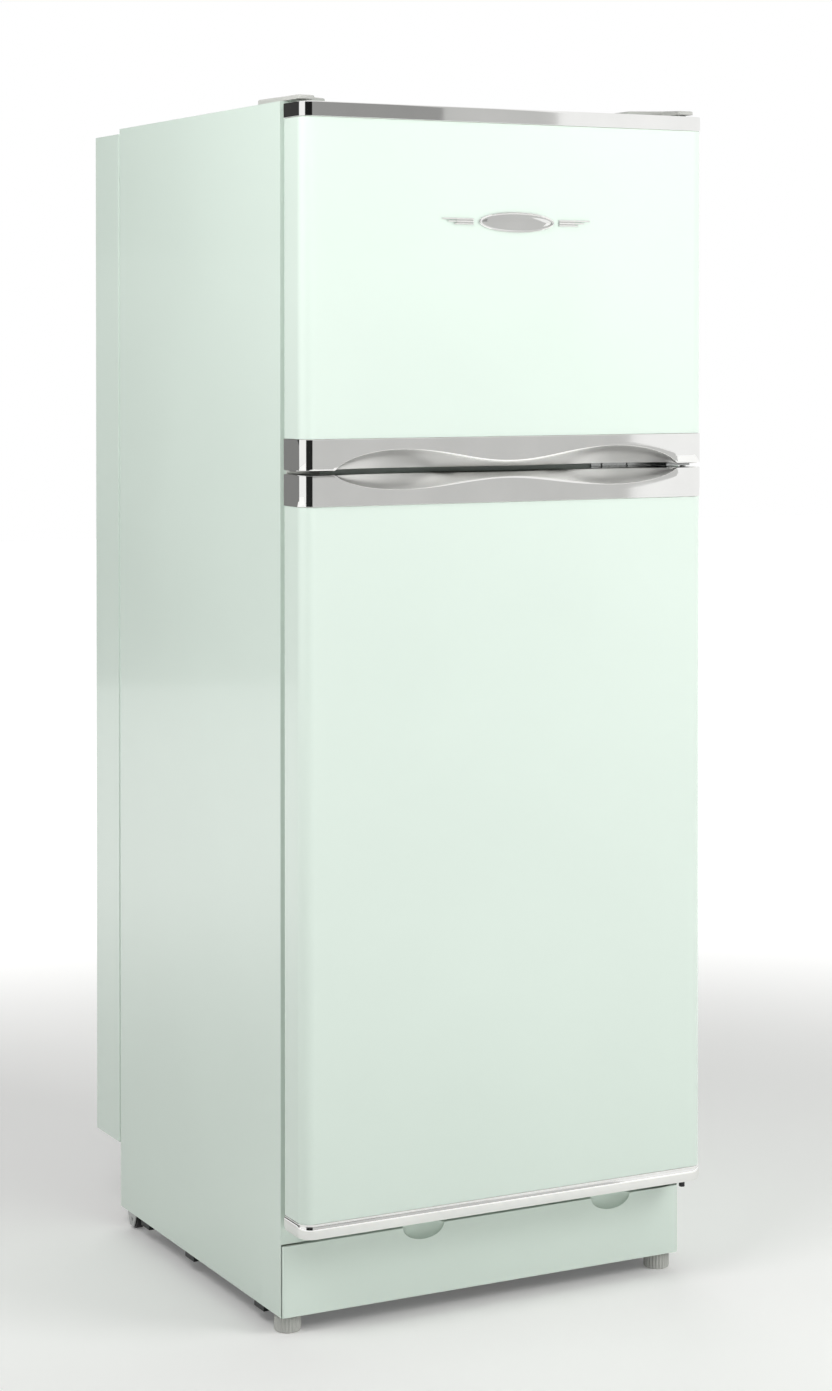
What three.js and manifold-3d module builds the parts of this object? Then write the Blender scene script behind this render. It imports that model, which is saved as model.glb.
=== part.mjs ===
// Top freezer refrigerator: a slim 600 mm cabinet with a freezer above a fresh-food compartment,
// cooled by a gas absorption unit that stands between two wings on its back.
// Millimetres. +Z is up, +X is to the right as one faces the doors, +Y runs to the back.
// Pieces are drawn with Y = 0 at the cabinet's front edge and Z = 0 on the floor. The last lines
// shift them together, so that the origin is the centre of the footprint.
import * as THREE from 'three';
import { mergeVertices } from 'three/addons/utils/BufferGeometryUtils.js';
import Module from 'manifold-3d';

const wasm = await Module();
wasm.setup();

// ---------------------------------------------------------------- driving dimensions
const GAP = 0.3; // between pieces that touch
const OVER = 1; // how far a cutter runs past the face it cuts

const cabinet = { width: 600, depth: 549, bottom: 24, top: 1580, sheet: 1, flange: 30 };
const insulation = { side: 50, rear: 75, ceiling: 60 };
const doorSplit = 1108; // height of the middle of the gap between the two doors
const doorGap = 5;

const lining = { wall: 2, ledge: 8 };
const fridgeFloor = 190;
const mullion = { height: 65, depth: 20, sheet: 1.5, cover: 10 };
const bottomRail = { bottom: 118.3, top: 168, sheet: 2, depth: 22 };
const pan = { bottom: 120, sheet: 2, front: 22.5 };

const door = { thickness: 55, seal: 11, edgeRadius: 17.5, sheet: 1, trimProud: 2, trimWrap: 1 };
const doorEdge = { top: 4, bottom: 140 }; // below the cabinet's top, and above the floor
const handle = { height: 40, scoopDepth: 32, scoopEnd: 46, crest: 160 };
const scoopRise = { upper: 26, lower: 20.5 };
const waistRatio = 0.29; // height of the handle's waist as a share of its crest
const topTrimHeight = 19;
const bottomTrimHeight = 19.5;
const gasket = { width: 18, inset: 15, fromEnd: 3.5, fromTop: 13, fromBottom: 9 };
const doorLiner = { sheet: 2, rise: 41, wall: 12, clearance: 18 };
const bin = { reach: 116, wall: 2.5, lug: 5, lugHeight: 10 };

const hinge = { inset: 15, behindSeal: 35, pinRadius: 4, boreRadius: 4.5, boreDepth: 15, plate: 3 };
const bracket = {
  nose: 6, edge: 8, flange: 9, face: 2, pinClear: 2, topPlate: 2.5, topWidth: 52, topBack: 70,
};
const hingeCap = {
  rise: 7, wall: 1.2, back: 80, nose: 4, outer: 5, narrow: 28, wide: 72, fall: 2.4, slope: 26,
};

const kick = { top: 116, sheet: 1.5, front: 3, returnDepth: 11, sideGap: 1.6 };
const scallop = { width: 61, drop: 18, depth: 14, shell: 1.5 };
const scallopCentres = [-95, 191];

const foot = { radius: 17.5, groove: 1, ribs: 18, height: 22, stud: 4, inset: 20, fromFront: 22, chamfer: 3 };
const footNut = { radius: 8, height: 6, threadAbove: 18 };
const rail = { width: 40, sheet: 2, bottom: 40, front: 10 };
const crossMember = { width: 30, drop: 24, places: [70, 300, 460] };
const roller = { radius: 13, width: 12, axle: 3, inset: 13, fromRear: 34, earGap: 2 };
const rollerEar = { sheet: 2, top: 24, tip: 7, clear: 4, axleEnd: 1 };

const wing = { depth: 94, bottom: 115, below: 7, sheet: 1.2, flange: 22 };
const coolingUnit = { back: 51, pipe: 11, bracket: 14 }; // axis of the unit behind the cabinet's back
const boiler = { radius: 42, x: 185, bottom: 300, height: 680, flue: 14, flueTop: 1500 };
const receiver = { radius: 35, height: 330, from: -235, to: 95 };
const coil = { left: -235, right: 70, bottom: 440, pitch: 62, turns: 6, halfDepth: 24 };
const burner = { halfWidth: 33, height: 72, sheet: 1.5, slotInset: 12, slotBottom: 24, slotHeight: 20 };
const condenser = { from: -235, to: 140, height: 1390, fins: 14, finWidth: 62, finHeight: 78, finSheet: 1.4 };

const shelf = { front: 130, glass: 4, rearGap: 6, sideGap: 1.5 };
const fridgeShelves = { upper: 800, lower: 590, crisperCover: 392 };
const freezerShelfHeight = 1335;
const rodShelf = { bar: 2.2, pitch: 34, rearGap: 14, endInset: 6, sideMargin: 10 };
const crisper = { front: 190, wall: 2.5, height: 172, sideGap: 14, rearGap: 12 };
const crisperGrip = { width: 160, reach: 9, thickness: 4, drop: 12 };
const runner = { height: 3, width: 15, inset: 45 };
const fridgeCooler = { width: 300, below: 45, height: 145, pitch: 25, depth: 26, fin: 2, plate: 3 };
const freezerCooler = { width: 410, margin: 40, plate: 2.5, pitch: 62, channel: 14, depth: 7, inset: 22 };

// ---------------------------------------------------------------- sizes worked out from them
const halfWidth = cabinet.width / 2;
const insideHalf = halfWidth - cabinet.sheet - GAP;
const openingHalf = halfWidth - cabinet.flange;
const cavityHalf = halfWidth - insulation.side;
const cavityBack = cabinet.depth - insulation.rear;
const mullionSpan = [doorSplit - mullion.height / 2, doorSplit + mullion.height / 2];
const freezer = {
  floor: mullionSpan[1] + mullion.cover,
  ceiling: cabinet.top - insulation.ceiling,
  lip: [mullionSpan[1] + GAP, cabinet.top - cabinet.flange - GAP],
};
const fridge = {
  floor: fridgeFloor,
  ceiling: mullionSpan[0] - mullion.cover,
  lip: [bottomRail.top + GAP, mullionSpan[0] - GAP],
};
const doorFace = -door.seal - door.thickness; // Y of the painted door fronts
const doorBack = -door.seal;
const trimFace = doorFace - door.trimProud;
const skinHalf = halfWidth - door.trimWrap;
const freezerDoor = { bottom: doorSplit + doorGap / 2, top: cabinet.top - doorEdge.top };
const fridgeDoor = { bottom: doorEdge.bottom, top: doorSplit - doorGap / 2 };
const hingeX = halfWidth - hinge.inset;
const hingeY = -hinge.behindSeal;
const gasketHalf = halfWidth - gasket.inset;
const unitY = cabinet.depth + coolingUnit.back;
const panelBack = cabinet.depth;

// ---------------------------------------------------------------- shapes
function solidOf(geometry) {
  geometry.deleteAttribute('normal');
  geometry.deleteAttribute('uv');
  const merged = mergeVertices(geometry, 1e-4);
  return new wasm.Manifold(new wasm.Mesh({
    numProp: 3,
    vertProperties: merged.attributes.position.array,
    triVerts: Uint32Array.from(merged.index.array),
  }));
}

function geometryOf(solid) {
  const { vertProperties, triVerts } = solid.getMesh();
  const geometry = new THREE.BufferGeometry();
  geometry.setAttribute('position', new THREE.BufferAttribute(vertProperties, 3));
  geometry.setIndex(new THREE.BufferAttribute(triVerts, 1));
  return geometry;
}

const both = (half) => [-half, half];
const around = (centre, half) => [centre - half, centre + half];
const join = (solids) => solids.reduce((whole, solid) => whole.add(solid));
const mirrored = (side, [from, to]) => (side > 0 ? [from, to] : [-to, -from]);

// A block between two X, two Y and two Z values.
function box([x0, x1], [y0, y1], [z0, z1]) {
  const geometry = new THREE.BoxGeometry(x1 - x0, y1 - y0, z1 - z0);
  return solidOf(geometry.translate((x0 + x1) / 2, (y0 + y1) / 2, (z0 + z1) / 2));
}

// A round bar along one axis, centred on the two other coordinates in X, Y, Z order.
function rod(axis, radius, [from, to], [u, v], sides = 20, endRadius = radius) {
  const geometry = new THREE.CylinderGeometry(endRadius, radius, to - from, sides);
  const middle = (from + to) / 2;
  if (axis === 'x') return solidOf(geometry.rotateZ(-Math.PI / 2).translate(middle, u, v));
  if (axis === 'z') return solidOf(geometry.rotateX(Math.PI / 2).translate(u, v, middle));
  return solidOf(geometry.translate(u, middle, v));
}

function outline(points) {
  return new THREE.Shape(points.map(([x, y]) => new THREE.Vector2(x, y)));
}

// Outlines drawn in plan and raised along Z, or drawn as Y and Z and run along X.
function raised(shape, [z0, z1], curveSegments = 6) {
  const settings = { depth: z1 - z0, bevelEnabled: false, curveSegments };
  return solidOf(new THREE.ExtrudeGeometry(shape, settings).translate(0, 0, z0));
}

function acrossX(shape, [x0, x1]) {
  const geometry = new THREE.ExtrudeGeometry(shape, { depth: x1 - x0, bevelEnabled: false });
  return solidOf(geometry.rotateX(Math.PI / 2).rotateZ(Math.PI / 2).translate(x0, 0, 0));
}

// A pipe of round section whose axis passes smoothly through the points.
function pipe(points, radius, steps, sides = 8) {
  const path = new THREE.CatmullRomCurve3(points.map((point) => new THREE.Vector3(...point)));
  const section = outline(Array.from({ length: sides }, (_, index) => {
    const turn = (index * 2 * Math.PI) / sides;
    return [radius * Math.cos(turn), radius * Math.sin(turn)];
  }));
  return solidOf(new THREE.ExtrudeGeometry(section, { steps, extrudePath: path, bevelEnabled: false }));
}

// ---------------------------------------------------------------- cabinet shell and insulation
function cabinetWrapper() {
  const innerHalf = halfWidth - cabinet.sheet;
  const plinthTop = bottomRail.bottom - GAP;
  const body = box(both(halfWidth), [0, cabinet.depth], [cabinet.bottom, cabinet.top]);
  const inside = box(both(innerHalf), [cabinet.sheet, cabinet.depth + OVER],
    [cabinet.bottom - OVER, cabinet.top - cabinet.sheet]);
  const doorway = box(both(openingHalf), [-OVER, cabinet.sheet + OVER],
    [cabinet.bottom - OVER, cabinet.top - cabinet.flange]);
  const plinthOpening = box(both(innerHalf), [-OVER, cabinet.sheet + OVER],
    [cabinet.bottom - OVER, plinthTop]);
  return body.subtract(inside).subtract(doorway).subtract(plinthOpening);
}

// The outside of a liner, grown on every face: what the foam has to leave free.
function linerRoom({ floor, ceiling, lip }, grow) {
  const wall = lining.wall + grow;
  const tub = box(both(cavityHalf + wall), [-grow, cavityBack + wall], [floor - wall, ceiling + wall]);
  const brim = box(both(openingHalf - GAP + grow), [-grow, wall], [lip[0] - grow, lip[1] + grow]);
  return tub.add(brim);
}

function liner(room, ledgeTops) {
  const cavity = box(both(cavityHalf), [-OVER, cavityBack], [room.floor, room.ceiling]);
  const ledges = ledgeTops.flatMap((top) => [-1, 1].map((side) => box(
    mirrored(side, [cavityHalf - lining.ledge, cavityHalf + lining.wall / 2]),
    [shelf.front, cavityBack + lining.wall / 2],
    [top - lining.ledge, top - GAP],
  )));
  return join([linerRoom(room, 0).subtract(cavity), ...ledges]);
}

function fridgeLiner() {
  const runners = [-1, 1].map((side) => box(
    mirrored(side, [cavityHalf - runner.inset - runner.width, cavityHalf - runner.inset]),
    [shelf.front, cavityBack + lining.wall / 2],
    [fridge.floor - lining.wall / 2, fridge.floor + runner.height],
  ));
  return join([liner(fridge, Object.values(fridgeShelves)), ...runners]);
}

function foamInsulation() {
  const skin = cabinet.sheet + GAP;
  const block = box(both(insideHalf), [skin, cabinet.depth - lining.wall - 2 * GAP],
    [pan.bottom + pan.sheet + GAP, cabinet.top - skin]);
  const railRoom = box(both(openingHalf), [0, mullion.depth + GAP],
    [mullionSpan[0] - GAP, mullionSpan[1] + GAP]);
  const bottomRoom = box(both(openingHalf), [0, bottomRail.depth + GAP],
    [bottomRail.bottom - GAP, bottomRail.top + GAP]);
  return block.subtract(linerRoom(freezer, GAP)).subtract(linerRoom(fridge, GAP))
    .subtract(railRoom).subtract(bottomRoom);
}

function rearPanel() {
  return box(both(insideHalf), [cabinet.depth - lining.wall - GAP, cabinet.depth],
    [pan.bottom, cabinet.top - cabinet.sheet - GAP]);
}

// A folded channel that faces the doors and is open to the foam behind it.
function frontChannel([z0, z1], depth, sheet) {
  const channel = box(both(openingHalf - GAP), [0, depth], [z0, z1]);
  const hollow = box(both(openingHalf - GAP - sheet), [sheet, depth + OVER], [z0 + sheet, z1 - sheet]);
  return channel.subtract(hollow);
}

// ---------------------------------------------------------------- base, feet and rollers
// Side rails with upright webs, a floor pan across their tops and cross members under them.
function baseFrame() {
  const railBack = cabinet.depth - lining.wall - 2 * GAP;
  const floorPan = box(both(insideHalf), [pan.front, railBack], [pan.bottom, pan.bottom + pan.sheet]);
  const rails = [-1, 1].flatMap((side) => [
    box(mirrored(side, [insideHalf - rail.width, insideHalf]), [rail.front, railBack],
      [rail.bottom, rail.bottom + rail.sheet]),
    box(mirrored(side, [insideHalf - rail.sheet, insideHalf]), [rail.front, railBack],
      [rail.bottom, pan.bottom + rail.sheet]),
  ]);
  const members = crossMember.places.map((place) => {
    const outside = box(both(insideHalf), around(place, crossMember.width / 2),
      [rail.bottom - crossMember.drop, rail.bottom + rail.sheet]);
    const inside = box(both(insideHalf - rail.sheet), around(place, crossMember.width / 2 - rail.sheet),
      [rail.bottom - crossMember.drop - OVER, rail.bottom - rail.sheet]);
    return outside.subtract(inside);
  });
  const studHoles = [-1, 1].map((side) => rod('z', foot.stud + 1,
    [rail.bottom - OVER, rail.bottom + rail.sheet + OVER],
    [side * (halfWidth - foot.inset), foot.fromFront]));
  return join([floorPan, ...rails, ...members]).subtract(join(studHoles));
}

// A ribbed pad that is turned by hand, with its threaded stud and the nut above the rail.
function levellingFoot(side) {
  const centre = [side * (halfWidth - foot.inset), foot.fromFront];
  const pad = outline(Array.from({ length: 2 * foot.ribs }, (_, index) => {
    const turn = (index * Math.PI) / foot.ribs;
    const radius = foot.radius - (index % 2) * foot.groove;
    return [centre[0] + radius * Math.cos(turn), centre[1] + radius * Math.sin(turn)];
  }));
  const { chamfer } = foot;
  const nut = (middle) => rod('z', footNut.radius, around(middle, footNut.height / 2), centre, 6);
  return join([
    raised(pad, [chamfer, foot.height]),
    rod('z', foot.radius - chamfer, [0, chamfer], centre, 24, foot.radius - foot.groove),
    rod('z', foot.stud, [foot.height - OVER, rail.bottom + footNut.threadAbove], centre, 12),
    nut(rail.bottom - footNut.height),
    nut(rail.bottom + rail.sheet + footNut.height),
  ]);
}

const rollerY = cabinet.depth - roller.fromRear;
const rollerX = halfWidth - roller.inset;

// Two tapered ears under a plate, with the axle across them.
function rollerBracket(side) {
  const { sheet, tip, clear, axleEnd } = rollerEar;
  const top = rail.bottom - GAP;
  const ear = outline([[rollerY - rollerEar.top, top], [rollerY - tip, clear], [rollerY + tip, clear],
    [rollerY + rollerEar.top, top]]);
  const reach = roller.width / 2 + roller.earGap;
  const outer = mirrored(side, [rollerX - reach - sheet, rollerX + reach + sheet]);
  const ears = [-1, 1].map((end) => {
    const place = rollerX + end * (reach + sheet / 2);
    return acrossX(ear, mirrored(side, around(place, sheet / 2)));
  });
  return join([
    ...ears,
    box(outer, around(rollerY, rollerEar.top), [top - sheet, top]),
    rod('x', roller.axle, [outer[0] - axleEnd, outer[1] + axleEnd], [rollerY, roller.radius], 12),
  ]);
}

function rollerWheel(side) {
  const span = mirrored(side, around(rollerX, roller.width / 2));
  const hub = [rollerY, roller.radius];
  return rod('x', roller.radius, span, hub, 28)
    .subtract(rod('x', roller.axle + GAP, [span[0] - OVER, span[1] + OVER], hub, 12));
}

// ---------------------------------------------------------------- kick plate
// A shallow folded cover that pulls off forwards, with two scooped finger holds in its top edge.
function kickPlate() {
  const half = halfWidth - kick.sideGap;
  const front = -kick.front;
  const bottom = cabinet.bottom;
  const tray = box(both(half), [front, front + kick.returnDepth], [bottom, kick.top]);
  const hollow = box(both(half - kick.sheet), [front + kick.sheet, front + kick.returnDepth + OVER],
    [bottom - OVER, kick.top - kick.sheet]);
  const keep = box(both(half), [front, front + 2 * scallop.depth], [bottom, kick.top]);
  const bowl = (centre, grow) => {
    const sphere = new THREE.SphereGeometry(1, 20, 14);
    sphere.scale(scallop.width / 2 + grow, scallop.depth + grow, scallop.drop + grow);
    return solidOf(sphere.translate(centre, front, kick.top));
  };
  const bowls = join(scallopCentres.map((centre) => bowl(centre, scallop.shell))).intersect(keep);
  const scoops = join(scallopCentres.map((centre) => bowl(centre, 0)));
  return tray.subtract(hollow).add(bowls).subtract(scoops);
}

// ---------------------------------------------------------------- doors
// The plan of a door: square at the back, rounded at the two front corners.
function doorPlan(half, front, back, radius) {
  const plan = new THREE.Shape();
  plan.moveTo(half, back);
  plan.lineTo(-half, back);
  plan.lineTo(-half, front + radius);
  plan.absarc(-half + radius, front + radius, radius, Math.PI, 1.5 * Math.PI);
  plan.absarc(half - radius, front + radius, radius, 1.5 * Math.PI, 2 * Math.PI);
  plan.closePath();
  return plan;
}

const linerSheetFront = doorBack - doorLiner.sheet;

// A painted sheet bent round the front and sides, with a narrow return along the back edges.
function doorSkin(height) {
  const inset = door.sheet;
  const outside = raised(doorPlan(skinHalf, doorFace, doorBack, door.edgeRadius), height);
  const inside = raised(doorPlan(skinHalf - inset, doorFace + inset, doorBack - inset,
    door.edgeRadius - inset), [height[0] - OVER, height[1] + OVER]);
  const backOpening = box(both(gasketHalf), [doorBack - 2 * inset, doorBack + OVER],
    [height[0] - OVER, height[1] + OVER]);
  return outside.subtract(inside).subtract(backOpening);
}

function doorFoam([z0, z1]) {
  const inset = door.sheet + GAP;
  return raised(doorPlan(skinHalf - inset, doorFace + inset, linerSheetFront - GAP,
    door.edgeRadius - inset), [z0 + GAP, z1 - GAP]);
}

// A moulded end cap that closes the door's top or bottom and carries the hinge pin's bore.
function doorCap([z0, z1], end) {
  const radius = door.edgeRadius + door.trimProud;
  const block = raised(doorPlan(halfWidth, trimFace, doorBack, radius), [z0, z1], 8);
  const skinRim = 2.5;
  const step = end > 0 ? [z0 - OVER, z1 - skinRim] : [z0 + skinRim, z1 + OVER];
  const linerSeat = box(both(gasketHalf + GAP), [linerSheetFront - GAP, doorBack + OVER], step);
  const bore = end > 0 ? [z1 - hinge.boreDepth, z1 + OVER] : [z0 - OVER, z0 + hinge.boreDepth];
  return block.subtract(linerSeat).subtract(rod('z', hinge.boreRadius, bore, [hingeX, hingeY], 20));
}

// The finger scoop: on each side of the middle a bowl whose front edge rises from the strip's end
// to a crest and falls away in a longer sweep to the low waist at the middle.
function fingerScoop(edge, rise) {
  const outerReach = halfWidth - handle.scoopEnd - handle.crest;
  const innerReach = handle.crest / Math.sqrt(1 - waistRatio ** 2);
  const bowl = (side, reach, keepX) => {
    const sphere = new THREE.SphereGeometry(1, 36, 16);
    sphere.scale(reach, handle.scoopDepth, rise).translate(side * handle.crest, trimFace, edge);
    const keep = box(mirrored(side, keepX), around(trimFace, handle.scoopDepth), around(edge, rise));
    return solidOf(sphere).intersect(keep);
  };
  return join([-1, 1].flatMap((side) => [
    bowl(side, outerReach, [handle.crest, halfWidth]),
    bowl(side, innerReach, [0, handle.crest]),
  ]));
}

function freezerHandle() {
  const { bottom } = freezerDoor;
  return doorCap([bottom, bottom + handle.height], -1).subtract(fingerScoop(bottom, scoopRise.upper));
}

function fridgeHandle() {
  const { top } = fridgeDoor;
  return doorCap([top - handle.height, top], 1).subtract(fingerScoop(top, scoopRise.lower));
}

// A vacuum-formed inner panel with a raised dyke round its middle and lugs that carry the bins.
function doorInner([z0, z1], room, binFloors) {
  const edge = 2.8;
  const dykeHalf = cavityHalf - doorLiner.clearance;
  const dykeZ = [room.floor + doorLiner.clearance, room.ceiling - doorLiner.clearance];
  const dykeY = [doorBack - doorLiner.sheet / 2, doorBack + doorLiner.rise];
  const sheet = box(both(gasketHalf), [linerSheetFront, doorBack], [z0 + edge, z1 - edge]);
  const dyke = box(both(dykeHalf), dykeY, dykeZ).subtract(box(both(dykeHalf - doorLiner.wall),
    [doorBack, dykeY[1] + OVER], [dykeZ[0] + doorLiner.wall, dykeZ[1] - doorLiner.wall]));
  const lugs = binFloors.flatMap((floor) => [-1, 1].map((side) => box(
    mirrored(side, [dykeHalf - doorLiner.wall - bin.lug, dykeHalf - doorLiner.wall / 2]),
    [doorBack - doorLiner.sheet / 2, doorBack + doorLiner.rise / 2],
    [floor - bin.lugHeight, floor - GAP],
  )));
  return join([sheet, dyke, ...lugs]);
}

function doorBin(floor, height) {
  const half = cavityHalf - doorLiner.clearance - doorLiner.wall - GAP;
  const y = [doorBack + GAP, doorBack + bin.reach];
  return box(both(half), y, [floor, floor + height]).subtract(box(both(half - bin.wall),
    [y[0] + bin.wall, y[1] - bin.wall], [floor + bin.wall, floor + height + OVER]));
}

function gasketRing([z0, z1]) {
  const y = [doorBack + GAP, -GAP];
  return box(both(gasketHalf), y, [z0, z1]).subtract(box(both(gasketHalf - gasket.width),
    [y[0] - OVER, y[1] + OVER], [z0 + gasket.width, z1 - gasket.width]));
}

// ---------------------------------------------------------------- badge: three plain polished pieces
const badge = {
  height: 318.5, // above the freezer door's lower edge
  centre: 8,
  proud: 2.5,
  wing: { inner: 64, width: 46, height: 9, grooves: 3, groove: 0.8 },
  plaque: { width: 112, height: 27 },
};
const badgeZ = freezerDoor.bottom + badge.height;
const badgeY = [doorFace - badge.proud, doorFace - GAP];

function badgeWing(side) {
  const { inner, width, height, grooves, groove } = badge.wing;
  const span = (reach) => mirrored(side, reach).map((x) => x + badge.centre);
  const bar = box(span([inner, inner + width]), badgeY, around(badgeZ, height / 2));
  const pitch = height / (grooves + 1);
  const cuts = Array.from({ length: grooves }, (_, index) => box(
    span([inner - OVER, inner + width + OVER]),
    [badgeY[0] - OVER, badgeY[0] + badge.proud / 2],
    around(badgeZ - height / 2 + pitch * (index + 1), groove / 2),
  ));
  return bar.subtract(join(cuts));
}

function badgePlaque() {
  const { width, height } = badge.plaque;
  const oval = new THREE.CylinderGeometry(1, 1, badgeY[1] - badgeY[0], 40);
  oval.scale(width / 2, 1, height / 2);
  return solidOf(oval.translate(badge.centre, (badgeY[0] + badgeY[1]) / 2, badgeZ));
}

// ---------------------------------------------------------------- hinges
function pin(span) {
  return rod('z', hinge.pinRadius, span, [hingeX, hingeY], 20);
}

const hingeOuter = halfWidth - bracket.edge;
const noseFront = hingeY - bracket.nose; // how far a hinge plate reaches in front of the pin

function topHingeBracket() {
  const seat = cabinet.top + GAP;
  const top = seat + bracket.topPlate;
  const footFront = 18;
  const arm = box([hingeX - bracket.nose, hingeOuter], [noseFront, footFront + 12], [seat, top]);
  const foot = box([hingeOuter - bracket.topWidth, hingeOuter], [footFront, bracket.topBack], [seat, top]);
  const screws = [[-38, 16], [-14, 16], [-26, 40]].map(([x, y]) => (
    rod('z', 4.5, [top - OVER, top + 2], [hingeOuter + x, footFront + y], 6)));
  return join([arm, foot, ...screws, pin([freezerDoor.top - hinge.boreDepth + bracket.pinClear, top])]);
}

// A moulded cap, narrow over the door and wide over the cabinet, with a nose that slopes down.
function hingeCover(side) {
  const seat = cabinet.top + GAP;
  const { rise, wall, back, fall, slope } = hingeCap;
  const shell = (inset, bottom) => {
    const front = noseFront - hingeCap.nose + inset;
    const outer = halfWidth - hingeCap.outer - inset;
    const [narrow, wide] = [halfWidth - hingeCap.narrow + inset, halfWidth - hingeCap.wide + inset];
    const plan = outline([[narrow, front], [outer, front], [outer, back - inset], [wide, back - inset],
      [wide, 16 + inset], [narrow, -6 + inset]].map(([x, y]) => [side * x, y]));
    const top = seat + rise - inset;
    const profile = outline([[front - OVER, bottom - OVER], [back + OVER, bottom - OVER],
      [back + OVER, top], [front + slope, top], [front - OVER, top - fall]]);
    return raised(plan, [bottom, seat + rise]).intersect(acrossX(profile, both(halfWidth)));
  };
  return shell(0, seat).subtract(shell(wall, seat - OVER));
}

function middleHingeBracket() {
  const face = [-bracket.face - GAP, -GAP];
  const plate = around(doorSplit, hinge.plate / 2);
  const flangeLeft = hingeX - 125;
  const screws = [20, 60, 100].map((step) => (
    rod('y', 4, [face[0] - 1.8, face[0] + OVER], [flangeLeft + step, doorSplit], 12)));
  return join([
    box([flangeLeft, hingeOuter], face, around(doorSplit, bracket.flange / 2)),
    box([hingeX - 5 * bracket.nose, hingeOuter], [noseFront, face[1]], plate),
    ...screws,
    pin([fridgeDoor.top - hinge.boreDepth + bracket.pinClear,
      freezerDoor.bottom + hinge.boreDepth - bracket.pinClear]),
  ]);
}

// A rounded stop with a short bar that fills the hinge's place on the side without hinges.
function middleBlank() {
  const face = [-bracket.face - GAP, -GAP];
  const plate = around(doorSplit, hinge.plate / 2);
  return join([
    box([-hingeOuter, -hingeX + 40], face, around(doorSplit, bracket.flange / 2)),
    box([-hingeOuter, -hingeX + 12], [hingeY, face[1]], plate),
    rod('z', 8, plate, [-hingeX + 1, hingeY], 20),
  ]);
}

function bottomHingeBracket() {
  const flangeTop = fridgeDoor.bottom + 7;
  const plateTop = fridgeDoor.bottom - 3.5;
  return join([
    box([hingeX - 45, hingeOuter], [-3 - GAP, -GAP], [bottomRail.bottom + OVER, flangeTop]),
    box([hingeX - 22, hingeOuter], [noseFront - 2, -GAP], [plateTop - hinge.plate, plateTop]),
    pin([plateTop - 12, fridgeDoor.bottom + hinge.boreDepth - bracket.pinClear]),
  ]);
}

// ---------------------------------------------------------------- rear wings and cooling unit
// A folded sheet on each side of the back, flush with the cabinet's side.
function rearWing(side) {
  const y = [panelBack + GAP, panelBack + wing.depth];
  const z = [wing.bottom, cabinet.top - wing.below];
  const outside = box(mirrored(side, [halfWidth - wing.flange, halfWidth]), y, z);
  const inside = box(mirrored(side, [halfWidth - wing.flange - OVER, halfWidth - wing.sheet]),
    [y[0] + wing.sheet, y[1] - wing.sheet], [z[0] - OVER, z[1] + OVER]);
  return outside.subtract(inside);
}

// A flat arm that carries part of the cooling unit off the back panel.
function unitArm(x, z, halfHeight = 12) {
  return box(around(x, coolingUnit.bracket / 2), [panelBack + GAP, unitY], around(z, halfHeight));
}

// The insulated boiler with its flue rising from the middle of its top.
function boilerCasing() {
  const { radius, x, bottom, height, flue, flueTop } = boiler;
  const top = bottom + height;
  return join([
    rod('z', radius, [bottom, top], [x, unitY], 28),
    rod('z', flue, [top - OVER, flueTop], [x, unitY], 16),
    rod('z', flue + 8, [flueTop - OVER, flueTop + 12], [x, unitY], 16, flue + 2),
    unitArm(x, bottom + height / 6),
    unitArm(x, top - height / 6),
    unitArm(x, flueTop - 40),
  ]);
}

// The burner's draught box, open at the bottom and slotted on its free side.
function burnerBox() {
  const { halfWidth: half, sheet, slotInset, slotBottom, slotHeight } = burner;
  const top = boiler.bottom - GAP;
  const bottom = top - burner.height;
  const x = around(boiler.x, half);
  const body = box(x, around(unitY, half), [bottom, top]);
  const inside = box(around(boiler.x, half - sheet), around(unitY, half - sheet),
    [bottom - OVER, top - sheet]);
  const slot = box([x[0] + slotInset, x[1] - slotInset], [unitY, unitY + half + OVER],
    [bottom + slotBottom, bottom + slotBottom + slotHeight]);
  const arm = box(around(boiler.x, coolingUnit.bracket), [panelBack + GAP, unitY - half + OVER],
    [top - 20, top - 4]);
  return join([body, arm]).subtract(inside).subtract(slot);
}

function receiverTank() {
  const { radius, height, from, to } = receiver;
  const dome = radius / 3;
  const neck = radius * 0.6;
  return join([
    rod('x', radius, [from + dome, to - dome], [unitY, height], 24),
    rod('x', neck, [from, from + dome + OVER], [unitY, height], 24, radius),
    rod('x', radius, [to - dome - OVER, to], [unitY, height], 24, neck),
    unitArm(from + 60, height, 16),
    unitArm(to - 60, height, 16),
  ]);
}

// The absorber: one pipe wound in flat oval turns that climb from the receiver.
function absorberCoil() {
  const { left, right, bottom, pitch, turns, halfDepth } = coil;
  const perTurn = 12;
  const centre = (left + right) / 2;
  const reach = (right - left) / 2;
  const squared = (value) => Math.sign(value) * Math.abs(value) ** 0.55;
  const points = Array.from({ length: turns * perTurn + 1 }, (_, index) => {
    const turn = (index * 2 * Math.PI) / perTurn;
    return [centre - reach * squared(Math.cos(turn)), unitY + 4 + halfDepth * squared(Math.sin(turn)),
      bottom + (pitch * index) / perTurn];
  });
  const top = bottom + pitch * turns;
  const straps = [left + 90, right - 90].map((x) => box(around(x, 6),
    [panelBack + GAP, unitY + 4 - halfDepth + 3], [bottom - 10, top + 6]));
  return join([pipe(points, coolingUnit.pipe, turns * perTurn), ...straps]);
}

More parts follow.
